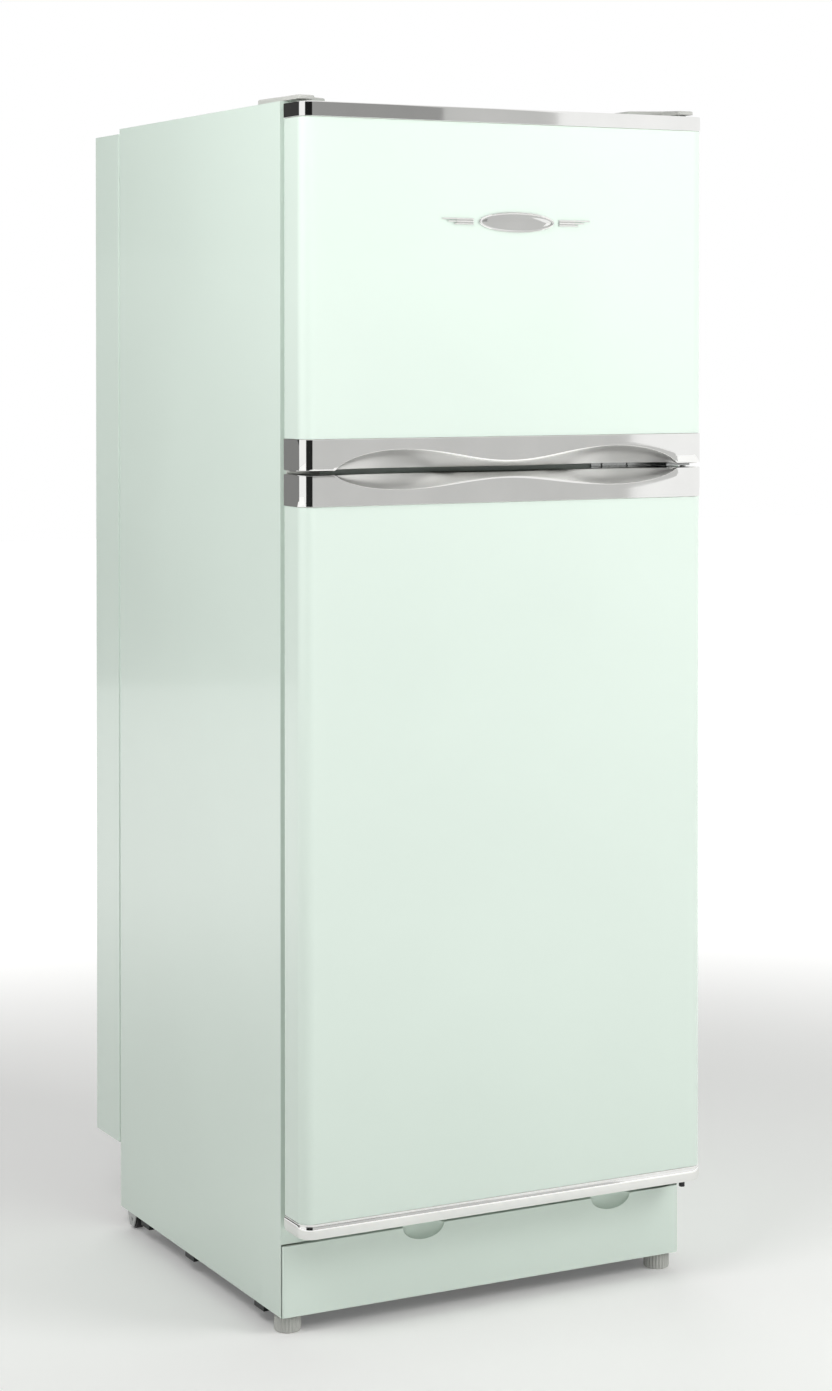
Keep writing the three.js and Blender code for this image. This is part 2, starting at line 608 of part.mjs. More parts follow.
// A pipe that falls slightly towards the evaporator, with square cooling fins.
function condenserUnit() {
  const { from, to, height, fins, finWidth, finHeight, finSheet } = condenser;
  const pitch = (to - from - 40) / (fins - 1);
  const plates = Array.from({ length: fins }, (_, index) => box(
    around(from + 20 + pitch * index, finSheet / 2), around(unitY, finWidth / 2),
    around(height, finHeight / 2)));
  const arms = [from + 20 + pitch * 2.5, to - 20 - pitch * 2.5].map((x) => unitArm(x, height));
  return join([rod('x', coolingUnit.pipe, [from, to], [unitY, height], 12), ...plates, ...arms]);
}

// ---------------------------------------------------------------- gas supply and controls
const controls = { left: -50, right: 150, front: 30, sheet: 2, bottom: 44 };
const knob = { radius: 14, depth: 18, height: 76, shaft: 3.5 };
const gasKnobX = 0;
const thermostatKnobX = 58;
const igniter = { x: 112, radius: 8, depth: 16, travel: 4 };
const valve = { height: 30, depth: 28, width: 86 };

function controlPanel() {
  const { left, right, front, sheet, bottom } = controls;
  const y = [front, front + sheet];
  const holes = [gasKnobX, thermostatKnobX].map((x) => (
    rod('y', knob.shaft + GAP, [y[0] - OVER, y[1] + OVER], [x, knob.height], 12)));
  const buttonHole = rod('y', igniter.radius - 2 + GAP, [y[0] - OVER, y[1] + OVER],
    [igniter.x, knob.height], 16);
  const top = pan.bottom - GAP;
  return box([left, right], y, [bottom, top]).add(box([left, right], [y[0], y[0] + 20], [top - sheet, top]))
    .subtract(join([...holes, buttonHole]));
}

function controlKnob(x) {
  const y = [controls.front - GAP - knob.depth, controls.front - GAP];
  const grip = outline(Array.from({ length: 24 }, (_, index) => {
    const turn = (index * Math.PI) / 12;
    const radius = knob.radius - (index % 2) * 1.2;
    return [radius * Math.cos(turn), radius * Math.sin(turn)];
  }));
  const body = new THREE.ExtrudeGeometry(grip, { depth: knob.depth, bevelEnabled: false });
  body.rotateX(Math.PI / 2).translate(x, y[1], knob.height);
  return join([
    solidOf(body),
    box(around(x, 2), [y[0] - 2, y[0] + OVER], [knob.height, knob.height + knob.radius - 2]),
    rod('y', knob.shaft, [y[1] - OVER, controls.front + controls.sheet + 8], [x, knob.height], 12),
  ]);
}

function igniterButton() {
  const front = controls.front - GAP - igniter.travel - igniter.depth;
  const face = [front, front + igniter.depth];
  const place = [igniter.x, knob.height];
  return join([
    rod('y', igniter.radius, face, place, 20),
    rod('y', igniter.radius - 2, [face[1] - OVER, controls.front + controls.sheet + 10], place, 16),
  ]);
}

// The valve body behind the knobs, its feed from the inlet at the back and its pipe to the burner.
function gasLine() {
  const y0 = controls.front + controls.sheet + 8 + GAP;
  const x = around((gasKnobX + thermostatKnobX) / 2, valve.width / 2);
  const y = [y0, y0 + valve.depth];
  const z = around(knob.height, valve.height / 2);
  const low = knob.height;
  const inletX = -210;
  const feed = pipe([[inletX, panelBack + wing.depth - 22, low + 22], [inletX, panelBack, low],
    [inletX, panelBack - 90, low], [x[0] + 16, y[1] + 120, low], [x[0] + 16, y[1] - 4, low]], 4, 22);
  const burnerFeed = pipe([[x[1] - 16, y[1] - 4, low], [x[1] - 16, y[1] + 120, low],
    [boiler.x, panelBack - 80, low], [boiler.x, unitY - 4, low + 12], [boiler.x, unitY, low + 70],
    [boiler.x, unitY, boiler.bottom - 48]], 4, 26);
  const inlet = rod('y', 11, [panelBack + wing.depth - 34, panelBack + wing.depth - 8],
    [inletX, low + 22], 6);
  const saddle = box(around(inletX, 9), [panelBack + GAP, panelBack + wing.depth - 20],
    [low + 31, low + 34]);
  const saddleTab = box(around(inletX, 9), [panelBack + GAP, panelBack + 2], [low + 31, pan.bottom + 20]);
  return join([box(x, y, z), feed, burnerFeed, inlet, saddle, saddleTab]);
}

// ---------------------------------------------------------------- inside the compartments
function shelfGlass(underside) {
  const half = cavityHalf - shelf.sideGap;
  return box(both(half), [shelf.front, cavityBack - shelf.rearGap], [underside, underside + shelf.glass]);
}

// Finned aluminium plate on the back wall above the top shelf.
function evaporatorFins() {
  const { below, height, pitch, depth, fin, plate } = fridgeCooler;
  const half = fridgeCooler.width / 2;
  const z = [fridge.ceiling - below - height, fridge.ceiling - below];
  const back = cavityBack - GAP;
  const count = Math.floor((2 * half) / pitch) + 1;
  const fins = Array.from({ length: count }, (_, index) => box(
    around(-half + pitch * index, fin / 2), [back - depth, back - plate + OVER], z));
  return join([box(both(half + fin / 2), [back - plate, back], z), ...fins]);
}

function freezerPlate() {
  const { margin, plate, pitch, channel, depth, inset } = freezerCooler;
  const half = freezerCooler.width / 2;
  const z = [freezer.floor + margin, freezer.ceiling - margin];
  const back = cavityBack - GAP;
  const count = Math.floor((z[1] - z[0]) / pitch);
  const channels = Array.from({ length: count }, (_, index) => box(
    both(half - inset), [back - depth, back - plate + OVER / 2],
    around(z[0] + pitch * (index + 0.5), channel / 2)));
  return join([box(both(half), [back - plate, back], z), ...channels]);
}

// A rod shelf: cross bars from front to back, welded over three long bars.
function freezerShelf() {
  const half = cavityHalf - shelf.sideGap;
  const { bar, pitch, rearGap, endInset, sideMargin } = rodShelf;
  const depth = [shelf.front, cavityBack - rearGap];
  const low = freezerShelfHeight + bar;
  const long = [depth[0] + endInset, (depth[0] + depth[1]) / 2, depth[1] - endInset].map((y) => (
    rod('x', bar, both(half), [y, low], 6)));
  const count = Math.floor((2 * (half - sideMargin)) / pitch) + 1;
  const start = (-(count - 1) * pitch) / 2;
  const cross = Array.from({ length: count }, (_, index) => (
    rod('y', bar, depth, [start + pitch * index, low + 1.5 * bar], 6)));
  return join([...long, ...cross]);
}

function crisperDrawer() {
  const { front, wall, height } = crisper;
  const half = cavityHalf - crisper.sideGap;
  const z0 = fridge.floor + runner.height + GAP;
  const back = cavityBack - crisper.rearGap;
  const tub = box(both(half), [front, back], [z0, z0 + height]);
  const inside = box(both(half - wall), [front + wall, back - wall], [z0 + wall, z0 + height + OVER]);
  const gripTop = z0 + height - crisperGrip.drop;
  const grip = box(both(crisperGrip.width / 2), [front - crisperGrip.reach, front + OVER],
    [gripTop - crisperGrip.thickness, gripTop]);
  return tub.subtract(inside).add(grip);
}

// ---------------------------------------------------------------- materials
function finish(color, roughness, metalness) {
  return () => new THREE.MeshStandardMaterial({ color, roughness, metalness });
}

const mintEnamel = finish('#d5e3da', 0.2, 0.0);
const brightPlating = finish('#bebebc', 0.08, 1.0);
const whiteAbs = finish('#eef0ee', 0.35, 0.0);
const greyAbs = finish('#96968f', 0.5, 0.0);
const foamYellow = finish('#d8c48a', 0.9, 0.0);
const gasketGrey = finish('#969694', 0.7, 0.0);
const galvanised = finish('#a9acac', 0.45, 0.8);
const blackSteel = finish('#232425', 0.5, 0.4);
const unitEnamel = finish('#2b2c2d', 0.45, 0.3);
const aluminium = finish('#b9bcbd', 0.35, 0.9);
const zincPlate = finish('#c9c9c4', 0.3, 0.9);
const brass = finish('#b9964c', 0.3, 0.9);
const blackPlastic = finish('#1c1c1d', 0.5, 0.0);
const clearGlass = finish('#dfece8', 0.05, 0.0);
const clearPlastic = finish('#e6eef0', 0.12, 0.0);
const whiteWire = finish('#f1f1ee', 0.4, 0.0);

// ---------------------------------------------------------------- assembly
const freezerSkin = [freezerDoor.bottom + handle.height + GAP, freezerDoor.top - topTrimHeight - GAP];
const fridgeSkin = [fridgeDoor.bottom + bottomTrimHeight + GAP, fridgeDoor.top - handle.height - GAP];
const freezerBins = {
  lower: { floor: freezer.floor + 42, height: 92 },
  upper: { floor: freezer.floor + 212, height: 70 },
};
const fridgeBins = {
  lower: { floor: fridge.floor + 42, height: 118 },
  middle: { floor: fridge.floor + 340, height: 82 },
  upper: { floor: fridge.floor + 610, height: 82 },
};
const binFloors = (bins) => Object.values(bins).map(({ floor }) => floor);

const pieces = [
  ['cabinet_wrapper', cabinetWrapper(), mintEnamel],
  ['foam_insulation', foamInsulation(), foamYellow],
  ['rear_panel', rearPanel(), galvanised],
  ['freezer_liner', liner(freezer, [freezerShelfHeight]), whiteAbs],
  ['fridge_liner', fridgeLiner(), whiteAbs],
  ['mullion_rail', frontChannel([mullionSpan[0], mullionSpan[1]], mullion.depth, mullion.sheet), mintEnamel],
  ['bottom_front_rail', frontChannel([bottomRail.bottom, bottomRail.top], bottomRail.depth,
    bottomRail.sheet), mintEnamel],
  ['base_frame', baseFrame(), blackSteel],
  ['foot_left', levellingFoot(-1), greyAbs],
  ['foot_right', levellingFoot(1), greyAbs],
  ['roller_bracket_left', rollerBracket(-1), zincPlate],
  ['roller_bracket_right', rollerBracket(1), zincPlate],
  ['roller_left', rollerWheel(-1), blackPlastic],
  ['roller_right', rollerWheel(1), blackPlastic],
  ['kick_plate', kickPlate(), mintEnamel],
  ['rear_wing_left', rearWing(-1), mintEnamel],
  ['rear_wing_right', rearWing(1), mintEnamel],
  ['boiler_casing', boilerCasing(), galvanised],
  ['burner_box', burnerBox(), galvanised],
  ['receiver_tank', receiverTank(), unitEnamel],
  ['absorber_coil', absorberCoil(), unitEnamel],
  ['condenser', condenserUnit(), unitEnamel],
  ['gas_line', gasLine(), brass],
  ['control_panel', controlPanel(), blackSteel],
  ['gas_knob', controlKnob(gasKnobX), blackPlastic],
  ['thermostat_knob', controlKnob(thermostatKnobX), blackPlastic],
  ['igniter_button', igniterButton(), blackPlastic],
  ['top_hinge_bracket', topHingeBracket(), zincPlate],
  ['top_hinge_cover_left', hingeCover(-1), greyAbs],
  ['top_hinge_cover_right', hingeCover(1), greyAbs],
  ['middle_hinge_bracket', middleHingeBracket(), zincPlate],
  ['middle_blank_left', middleBlank(), greyAbs],
  ['bottom_hinge_bracket', bottomHingeBracket(), blackSteel],
  ['fridge_shelf_upper', shelfGlass(fridgeShelves.upper), clearGlass],
  ['fridge_shelf_lower', shelfGlass(fridgeShelves.lower), clearGlass],
  ['crisper_cover', shelfGlass(fridgeShelves.crisperCover), clearGlass],
  ['crisper_drawer', crisperDrawer(), clearPlastic],
  ['fridge_evaporator', evaporatorFins(), aluminium],
  ['freezer_evaporator', freezerPlate(), aluminium],
  ['freezer_shelf', freezerShelf(), whiteWire],
  ['freezer_door_skin', doorSkin(freezerSkin), mintEnamel],
  ['freezer_door_foam', doorFoam(freezerSkin), foamYellow],
  ['freezer_door_liner', doorInner([freezerDoor.bottom, freezerDoor.top], freezer,
    binFloors(freezerBins)), whiteAbs],
  ['freezer_door_gasket', gasketRing([freezerDoor.bottom + gasket.fromEnd,
    freezerDoor.top - gasket.fromTop]), gasketGrey],
  ['freezer_door_top_trim', doorCap([freezerDoor.top - topTrimHeight, freezerDoor.top], 1), brightPlating],
  ['freezer_door_handle', freezerHandle(), brightPlating],
  ['freezer_door_bin_lower', doorBin(freezerBins.lower.floor, freezerBins.lower.height), clearPlastic],
  ['freezer_door_bin_upper', doorBin(freezerBins.upper.floor, freezerBins.upper.height), clearPlastic],
  ['badge_wing_left', badgeWing(-1), brightPlating],
  ['badge_plaque', badgePlaque(), brightPlating],
  ['badge_wing_right', badgeWing(1), brightPlating],
  ['fridge_door_skin', doorSkin(fridgeSkin), mintEnamel],
  ['fridge_door_foam', doorFoam(fridgeSkin), foamYellow],
  ['fridge_door_liner', doorInner([fridgeDoor.bottom, fridgeDoor.top], fridge,
    binFloors(fridgeBins)), whiteAbs],
  ['fridge_door_gasket', gasketRing([fridgeDoor.bottom + gasket.fromBottom,
    fridgeDoor.top - gasket.fromEnd]), gasketGrey],
  ['fridge_door_handle', fridgeHandle(), brightPlating],
  ['fridge_door_bottom_trim', doorCap([fridgeDoor.bottom, fridgeDoor.bottom + bottomTrimHeight], -1),
    brightPlating],
  ['fridge_door_bin_lower', doorBin(fridgeBins.lower.floor, fridgeBins.lower.height), clearPlastic],
  ['fridge_door_bin_middle', doorBin(fridgeBins.middle.floor, fridgeBins.middle.height), clearPlastic],
  ['fridge_door_bin_upper', doorBin(fridgeBins.upper.floor, fridgeBins.upper.height), clearPlastic],
];

const refrigerator = new THREE.Group();
refrigerator.position.y = -(trimFace + panelBack + wing.depth) / 2;
pieces.forEach(([name, solid, material]) => {
  const mesh = new THREE.Mesh(geometryOf(solid), material());
  mesh.name = name;
  refrigerator.add(mesh);
});

export default refrigerator;
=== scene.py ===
"""Looks of a top freezer refrigerator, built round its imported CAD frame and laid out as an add-on."""
import math

import bpy
import numpy as np
from bpy.props import FloatProperty, FloatVectorProperty, IntProperty, PointerProperty
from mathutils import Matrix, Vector


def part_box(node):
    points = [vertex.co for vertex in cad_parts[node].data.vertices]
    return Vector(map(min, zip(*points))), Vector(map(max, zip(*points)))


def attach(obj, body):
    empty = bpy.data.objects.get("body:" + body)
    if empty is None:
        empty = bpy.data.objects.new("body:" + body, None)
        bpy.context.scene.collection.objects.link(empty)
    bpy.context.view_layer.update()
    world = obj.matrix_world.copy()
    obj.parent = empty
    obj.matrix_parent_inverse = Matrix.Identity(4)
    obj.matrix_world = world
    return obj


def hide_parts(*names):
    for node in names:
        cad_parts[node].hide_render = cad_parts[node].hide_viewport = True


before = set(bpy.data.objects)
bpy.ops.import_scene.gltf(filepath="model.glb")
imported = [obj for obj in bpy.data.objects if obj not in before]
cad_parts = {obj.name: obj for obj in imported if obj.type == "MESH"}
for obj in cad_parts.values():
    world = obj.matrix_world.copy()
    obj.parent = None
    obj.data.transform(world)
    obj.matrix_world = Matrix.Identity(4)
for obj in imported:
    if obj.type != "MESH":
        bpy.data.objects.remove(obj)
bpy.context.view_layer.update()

bl_info = {
    "name": "Top Freezer Refrigerator",
    "version": (1, 0, 0),
    "blender": (4, 5, 0),
    "location": "3D View > Sidebar > Refrigerator",
    "description": "Builds the finished surfaces of a top freezer refrigerator round its frame",
    "category": "Object",
}

MM = 0.001
GAP = 0.3 * MM                    # what touching pieces of the frame keep between them
SLIVER = 0.02 * MM                # keeps two faces of one piece from lying in one plane
SMOOTH_ANGLE = math.radians(32)   # edges blunter than this are shaded round
QUARTER = np.linspace(0, math.pi / 2, 5)   # the angles of a small quarter round


# ------------------------------------------------------------------ settings a user would change
def linear(code):
    """Turns an sRGB hex colour such as "#D5E3DA" into linear red, green, blue and alpha 1."""
    parts = np.array([int(code[place:place + 2], 16) for place in (1, 3, 5)]) / 255
    curve = np.where(parts <= 0.04045, parts / 12.92, ((parts + 0.055) / 1.055) ** 2.4)
    return (*curve.tolist(), 1.0)


def length(name, description, default):
    """A size property in metres whose default is given in millimetres."""
    return FloatProperty(name=name, description=description, default=default * MM, min=0.0,
                         unit="LENGTH", precision=4)


def colour(name, description, code):
    """A colour property whose default is an sRGB hex value."""
    return FloatVectorProperty(name=name, description=description, default=linear(code), size=4,
                               min=0.0, max=1.0, subtype="COLOR")


class RefrigeratorSizes(bpy.types.PropertyGroup):
    """Sizes of the finished surfaces that the frame leaves open."""
    door_corner: length("Door corner", "Radius of a door's upright front edges", 17.5)
    skin: length("Door sheet", "Thickness of a door's painted sheet", 1.0)
    soft_edge: length("Soft edge", "Rounding on moulded edges", 1.2)
    sheet_edge: length("Sheet edge", "Rounding on cut sheet metal", 0.3)
    scoop_depth: length("Scoop depth", "How far a handle strip's finger scoop goes in", 32.0)
    scoop_end: length("Scoop end", "From the door's side to the end of the scoop", 46.0)
    scoop_crest: length("Scoop crest", "From the door's middle to the scoop's highest point", 160.0)
    liner_corner: length("Liner corner", "Radius of the liners' inner corners", 14.0)
    bin_corner: length("Bin corner", "Radius of the bins' and the drawer's upright corners", 12.0)
    gasket_rib: length("Gasket fold", "Depth of the folds in the door gaskets", 1.6)
    foot_ribs: IntProperty(name="Foot ribs", description="Ribs round a levelling foot", default=24,
                           min=8, max=60)


class RefrigeratorColours(bpy.types.PropertyGroup):
    """Colours of the refrigerator's finishes."""
    enamel: colour("Enamel", "Mint paint of the cabinet and doors", "#DEECE2")
    plating: colour("Bright plating", "Handle strips, trims and badge", "#F0F0EE")
    liner: colour("Liner plastic", "White inner linings", "#EEF1EE")
    grey_plastic: colour("Grey plastic", "Feet and hinge covers", "#C3C4BF")
    gasket: colour("Gasket", "Door seals", "#9C9C9A")
    dark_steel: colour("Dark steel", "Base frame and lower hinge", "#26282A")
    unit_paint: colour("Unit paint", "Black paint of the cooling unit", "#232527")
    zinc: colour("Zinc", "Plated brackets and boiler casing", "#B9BBBA")
    brass: colour("Brass", "Gas valve, pipes and inlet", "#C79A4E")
    black_plastic: colour("Black plastic", "Knobs and rollers", "#1B1C1D")
    foam: colour("Foam", "Insulation inside the cabinet and the doors", "#D9C795")
    floor: colour("Floor", "Studio floor", "#F4F4F2")


# ------------------------------------------------------------------ surfaces as arrays of points
def span(node):
    """Lowest and highest corner of a frame node at rest, as two arrays in metres."""
    low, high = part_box(node)
    return np.array(low), np.array(high)


def rounded_outline(low, high, radius, steps=6):
    """A rectangle with quarter-circle corners, anticlockwise: each corner's centre plus the radius
    times the cosine and sine of an angle that grows by a right angle from corner to corner."""
    low, high = np.asarray(low, float), np.asarray(high, float)
    radius = min(radius, *((high - low) / 2 * 0.999))
    centres = np.array([[high[0] - radius, low[1] + radius], [high[0] - radius, high[1] - radius],
                        [low[0] + radius, high[1] - radius], [low[0] + radius, low[1] + radius]])
    turns = np.linspace(0, math.pi / 2, steps + 1) + np.arange(-1, 3)[:, None] * math.pi / 2
    arc = np.stack([np.cos(turns), np.sin(turns)], axis=-1) * radius
    return (centres[:, None] + arc).reshape(-1, 2)


def stacked(outlines, heights):
    """Rings of points: one plan outline at each height, as an array of rings, points and X, Y, Z."""
    rings = np.zeros((len(outlines), len(outlines[0]), 3))
    rings[..., :2] = np.asarray(outlines)
    rings[..., 2] = np.asarray(heights, float)[:, None]
    return rings


def along_y(rings):
    """Turns rings drawn in plan and raised along Z into rings drawn upright and pushed along Y."""
    return rings[..., [0, 2, 1]]


def along_x(rings):
    """Turns rings drawn in plan and raised along Z into rings drawn in Y and Z and pushed along X."""
    return rings[..., [2, 0, 1]]


def loft(rings, closed=False):
    """Joins each ring of points to the next by quads and closes both ends by one face each, or
    joins the last ring to the first. Returns the points and the faces, facing outwards."""
    count, points = rings.shape[:2]
    index = np.arange(count * points).reshape(count, points)
    below, above = (index, np.roll(index, -1, axis=0)) if closed else (index[:-1], index[1:])
    quads = np.stack([below, np.roll(below, -1, 1), np.roll(above, -1, 1), above], -1).reshape(-1, 4)
    faces = quads.tolist()
    if not closed:
        faces += [index[0][::-1].tolist(), index[-1].tolist()]
    vertices = rings.reshape(-1, 3)
    corner = vertices[np.concatenate([quads[:, :3], quads[:, [0, 2, 3]]])]
    volume = np.einsum("ij,ij->i", corner[:, 0], np.cross(corner[:, 1], corner[:, 2])).sum()
    if not closed:
        for ring in (rings[0][::-1], rings[-1]):
            fan = np.cross(ring[1:-1], ring[2:])
            volume += (fan @ ring[0]).sum()
    return vertices, faces if volume > 0 else [face[::-1] for face in faces]


def block(low, high):
    """A plain block between two opposite corners."""
    low, high = np.minimum(low, high), np.maximum(low, high)
    plan = [[low[0], low[1]], [high[0], low[1]], [high[0], high[1]], [low[0], high[1]]]
    return loft(stacked([plan, plan], [low[2], high[2]]))


def round_box(low, high, corner, edge):
    """A block with round upright corners and softened top and bottom edges: the plan outline is
    drawn in by one minus the sine of an angle that runs over a quarter turn at each end."""
    low, high = np.asarray(low, float), np.asarray(high, float)
    opening, closing = edge * (1 - np.sin(QUARTER)), edge * (1 - np.cos(QUARTER))
    inset = np.concatenate([opening, closing])
    height = np.concatenate([low[2] + closing, high[2] - opening])
    plans = [rounded_outline(low[:2] + d, high[:2] - d, max(corner - d, edge * 0.2)) for d in inset]
    return loft(stacked(plans, height))


def cup(low, high, wall, corner, fillet):
    """An open tray: rings climb the outside, cross a rounded rim and go down the inside to a floor
    that meets the walls in a quarter round. Each ring is the plan outline drawn in by an inset."""
    low, high = np.asarray(low, float), np.asarray(high, float)
    opening, closing = fillet * (1 - np.sin(QUARTER)), fillet * (1 - np.cos(QUARTER))
    rim = np.linspace(math.pi, 0, 5)
    inset = np.concatenate([opening, wall / 2 * (1 + np.cos(rim)), wall + closing])
    height = np.concatenate([low[2] + closing, high[2] - wall / 2 * (1 - np.sin(rim)),
                             low[2] + wall + opening])
    plans = [rounded_outline(low[:2] + d, high[:2] - d, corner - min(d, corner * 0.8)) for d in inset]
    return loft(stacked(plans, height))


def turned(profile, centre, sides=40):
    """A turned shape: each pair of radius and height carried once round an upright axis."""
    profile = np.asarray(profile, float)
    turn = np.arange(sides) * 2 * math.pi / sides
    circle = np.stack([np.cos(turn), np.sin(turn)], axis=-1)
    plans = profile[:, 0, None, None] * circle + np.asarray(centre, float)
    return stacked(plans, profile[:, 1])


def smooth_path(points, per_span=8):
    """A Catmull-Rom curve through the points: on every span the cubic of its four neighbours."""
    points = np.asarray(points, float)
    padded = np.vstack([2 * points[0] - points[1], points, 2 * points[-1] - points[-2]])
    a, b, c, d = padded[:-3, None], padded[1:-2, None], padded[2:-1, None], padded[3:, None]
    t = np.linspace(0, 1, per_span, endpoint=False)[None, :, None]
    curve = 0.5 * (2 * b + (c - a) * t + (2 * a - 5 * b + 4 * c - d) * t ** 2
                   + (3 * b - a - 3 * c + d) * t ** 3)
    return np.vstack([curve.reshape(-1, 3), points[-1]])


def tube(path, radius, sides=16):
    """A round pipe: at each point of the path a circle in the plane across the path's direction,
    set out from the two directions that the path's direction and a fixed lean give by cross product."""
    path, lean = np.asarray(path, float), np.array([0.23, 0.11, 0.97])
    ahead = np.gradient(path, axis=0)
    ahead /= np.linalg.norm(ahead, axis=1, keepdims=True)
    across = np.cross(ahead, lean)
    across /= np.linalg.norm(across, axis=1, keepdims=True)
    up = np.cross(across, ahead)
    turn = (np.arange(sides) * 2 * math.pi / sides)[None, :, None]
    rings = path[:, None] + radius * (np.cos(turn) * across[:, None] + np.sin(turn) * up[:, None])
    return loft(rings)


def piece(name, solids, body, look, replaced, edge=0.0):
    """Makes one object from closed surfaces in place of frame nodes: rides it on its body, gives it
    its finish and that finish's slot, and softens its sharp edges when an edge is given."""
    vertices, faces, offset = [], [], 0
    for points, corners in solids:
        vertices.append(points)
        faces += [[corner + offset for corner in face] for face in corners]
        offset += len(points)
    mesh = bpy.data.meshes.new(name)
    mesh.from_pydata(np.concatenate(vertices), [], faces)
    mesh.shade_smooth()
    mesh.set_sharp_from_angle(angle=SMOOTH_ANGLE)
    mesh.materials.append(finish(look))
    made = bpy.data.objects.new(name, mesh)
    bpy.context.collection.objects.link(made)
    if edge:
        soften(made, edge)
    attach(made, body)
    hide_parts(*replaced)
    return made


def soften(made, edge):
    """Rounds an object's sharp edges by a bevel and keeps its flat faces flat."""
    bevel = made.modifiers.new("Soft edges", "BEVEL")
    bevel.width = edge
    bevel.segments = 2
    bevel.limit_method = "ANGLE"
    bevel.angle_limit = SMOOTH_ANGLE
    bevel.use_clamp_overlap = True
    bevel.harden_normals = True


def finish_node(node, look, edge=0.0):
    """Gives a frame node that keeps its own shape its finish: its triangles are joined, and when an
    edge is given, flat faces are made whole and its edges softened."""
    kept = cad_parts[node]
    kept.data.materials.clear()
    kept.data.materials.append(finish(look))
    weld = kept.modifiers.new("Join triangles", "WELD")
    weld.merge_threshold = 0.00002
    if edge:
        flat = kept.modifiers.new("Whole faces", "DECIMATE")
        flat.decimate_type = "DISSOLVE"
        flat.angle_limit = math.radians(1)
        soften(kept, edge)
    return kept


# ------------------------------------------------------------------ materials
def add_node(tree, kind, inputs=None, **settings):
    """Adds one node, with its settings, and fills or links its inputs."""
    made = tree.nodes.new(kind)
    for name, value in settings.items():
        setattr(made, name, value)
    for name, value in (inputs or {}).items():
        if isinstance(value, bpy.types.NodeSocket):
            tree.links.new(value, made.inputs[name])
        else:
            made.inputs[name].default_value = value
    return made


def per_metre(size_mm):
    """The texture scale that gives a pattern of this size."""
    return 1000.0 / size_mm


def noise(tree, place, size_mm, detail=2.0):
    """A cloudy pattern whose blotches have about this size."""
    made = add_node(tree, "ShaderNodeTexNoise", {"Vector": place, "Scale": per_metre(size_mm),
                                                 "Detail": detail})
    return made.outputs["Fac"]


def stretched(tree, place, scale):
    """Coordinates that draw a pattern out along the axes whose scale is small."""
    return add_node(tree, "ShaderNodeMapping", {"Vector": place, "Scale": scale}).outputs["Vector"]


def start_material(name, **shader):
    """A new material with its shader's plain values set. Gives its tree, shader and coordinates."""
    made = bpy.data.materials.new(name)
    made.use_nodes = True
    tree = made.node_tree
    bsdf = tree.nodes["Principled BSDF"]
    for socket, value in shader.items():
        bsdf.inputs[socket.replace("_", " ")].default_value = value
    place = add_node(tree, "ShaderNodeTexCoord").outputs["Object"]
    return made, tree, bsdf, place


def shade(tree, bsdf, base, pattern, darker, low=0.35, high=0.65):
    """Lets a pattern move the base colour between a darker tone of it and the colour itself."""
    ramp = add_node(tree, "ShaderNodeValToRGB", {"Fac": pattern})
    ramp.color_ramp.elements[0].position = low
    ramp.color_ramp.elements[1].position = high
    ramp.color_ramp.elements[0].color = (*(np.array(base[:3]) * darker).tolist(), 1.0)
    ramp.color_ramp.elements[1].color = tuple(base)
    tree.links.new(ramp.outputs["Color"], bsdf.inputs["Base Color"])


def vary(tree, bsdf, pattern, lowest, highest):
    """Lets a pattern move the roughness between two limits."""
    moved = add_node(tree, "ShaderNodeMapRange", {"Value": pattern, "From Min": 0.3, "From Max": 0.7,
                                                  "To Min": lowest, "To Max": highest})
    tree.links.new(moved.outputs["Result"], bsdf.inputs["Roughness"])


def raise_by(tree, bsdf, pattern, depth_mm, strength=1.0):
    """Lets a pattern raise the surface by a real depth."""
    bump = add_node(tree, "ShaderNodeBump", {"Height": pattern, "Distance": depth_mm * MM,
                                             "Strength": strength})
    tree.links.new(bump.outputs["Normal"], bsdf.inputs["Normal"])


def mint_enamel(colours):
    """Baked gloss enamel on pressed steel: a clear gloss over a pale green that waves very slightly,
    because the sheet is never quite flat and the paint levels into a fine orange peel."""
    made, tree, bsdf, place = start_material("baked_mint_enamel", Roughness=0.2, Coat_Weight=0.35,
                                             Coat_Roughness=0.06, IOR=1.5)
    sheet, peel = noise(tree, place, 240, 1.0), noise(tree, place, 4)
    shade(tree, bsdf, colours.enamel, sheet, 0.985)
    vary(tree, bsdf, sheet, 0.18, 0.24)
    raise_by(tree, bsdf, peel, 0.02, 0.35)
    return made


def bright_plating(colours):
    """Nickel and chrome plating on moulded ABS: a mirror whose reflections bend a little with the
    moulding, with a faint haze where fingers wipe it and a satin finish inside the finger scoops."""
    made, tree, bsdf, place = start_material("chrome_plated_abs", Metallic=1.0, Roughness=0.06)
    wipe = noise(tree, place, 60, 3.0)
    shade(tree, bsdf, colours.plating, wipe, 0.96)
    raise_by(tree, bsdf, wipe, 0.04, 0.25)
    satin = add_node(tree, "ShaderNodeAttribute", attribute_name="satin")
    haze = add_node(tree, "ShaderNodeMath", {0: wipe, 1: 0.08}, operation="MULTIPLY")
    rough = add_node(tree, "ShaderNodeMath", {0: satin.outputs["Fac"], 1: 0.3, 2: haze.outputs["Value"]},
                     operation="MULTIPLY_ADD")
    tree.links.new(rough.outputs["Value"], bsdf.inputs["Roughness"])
    return made


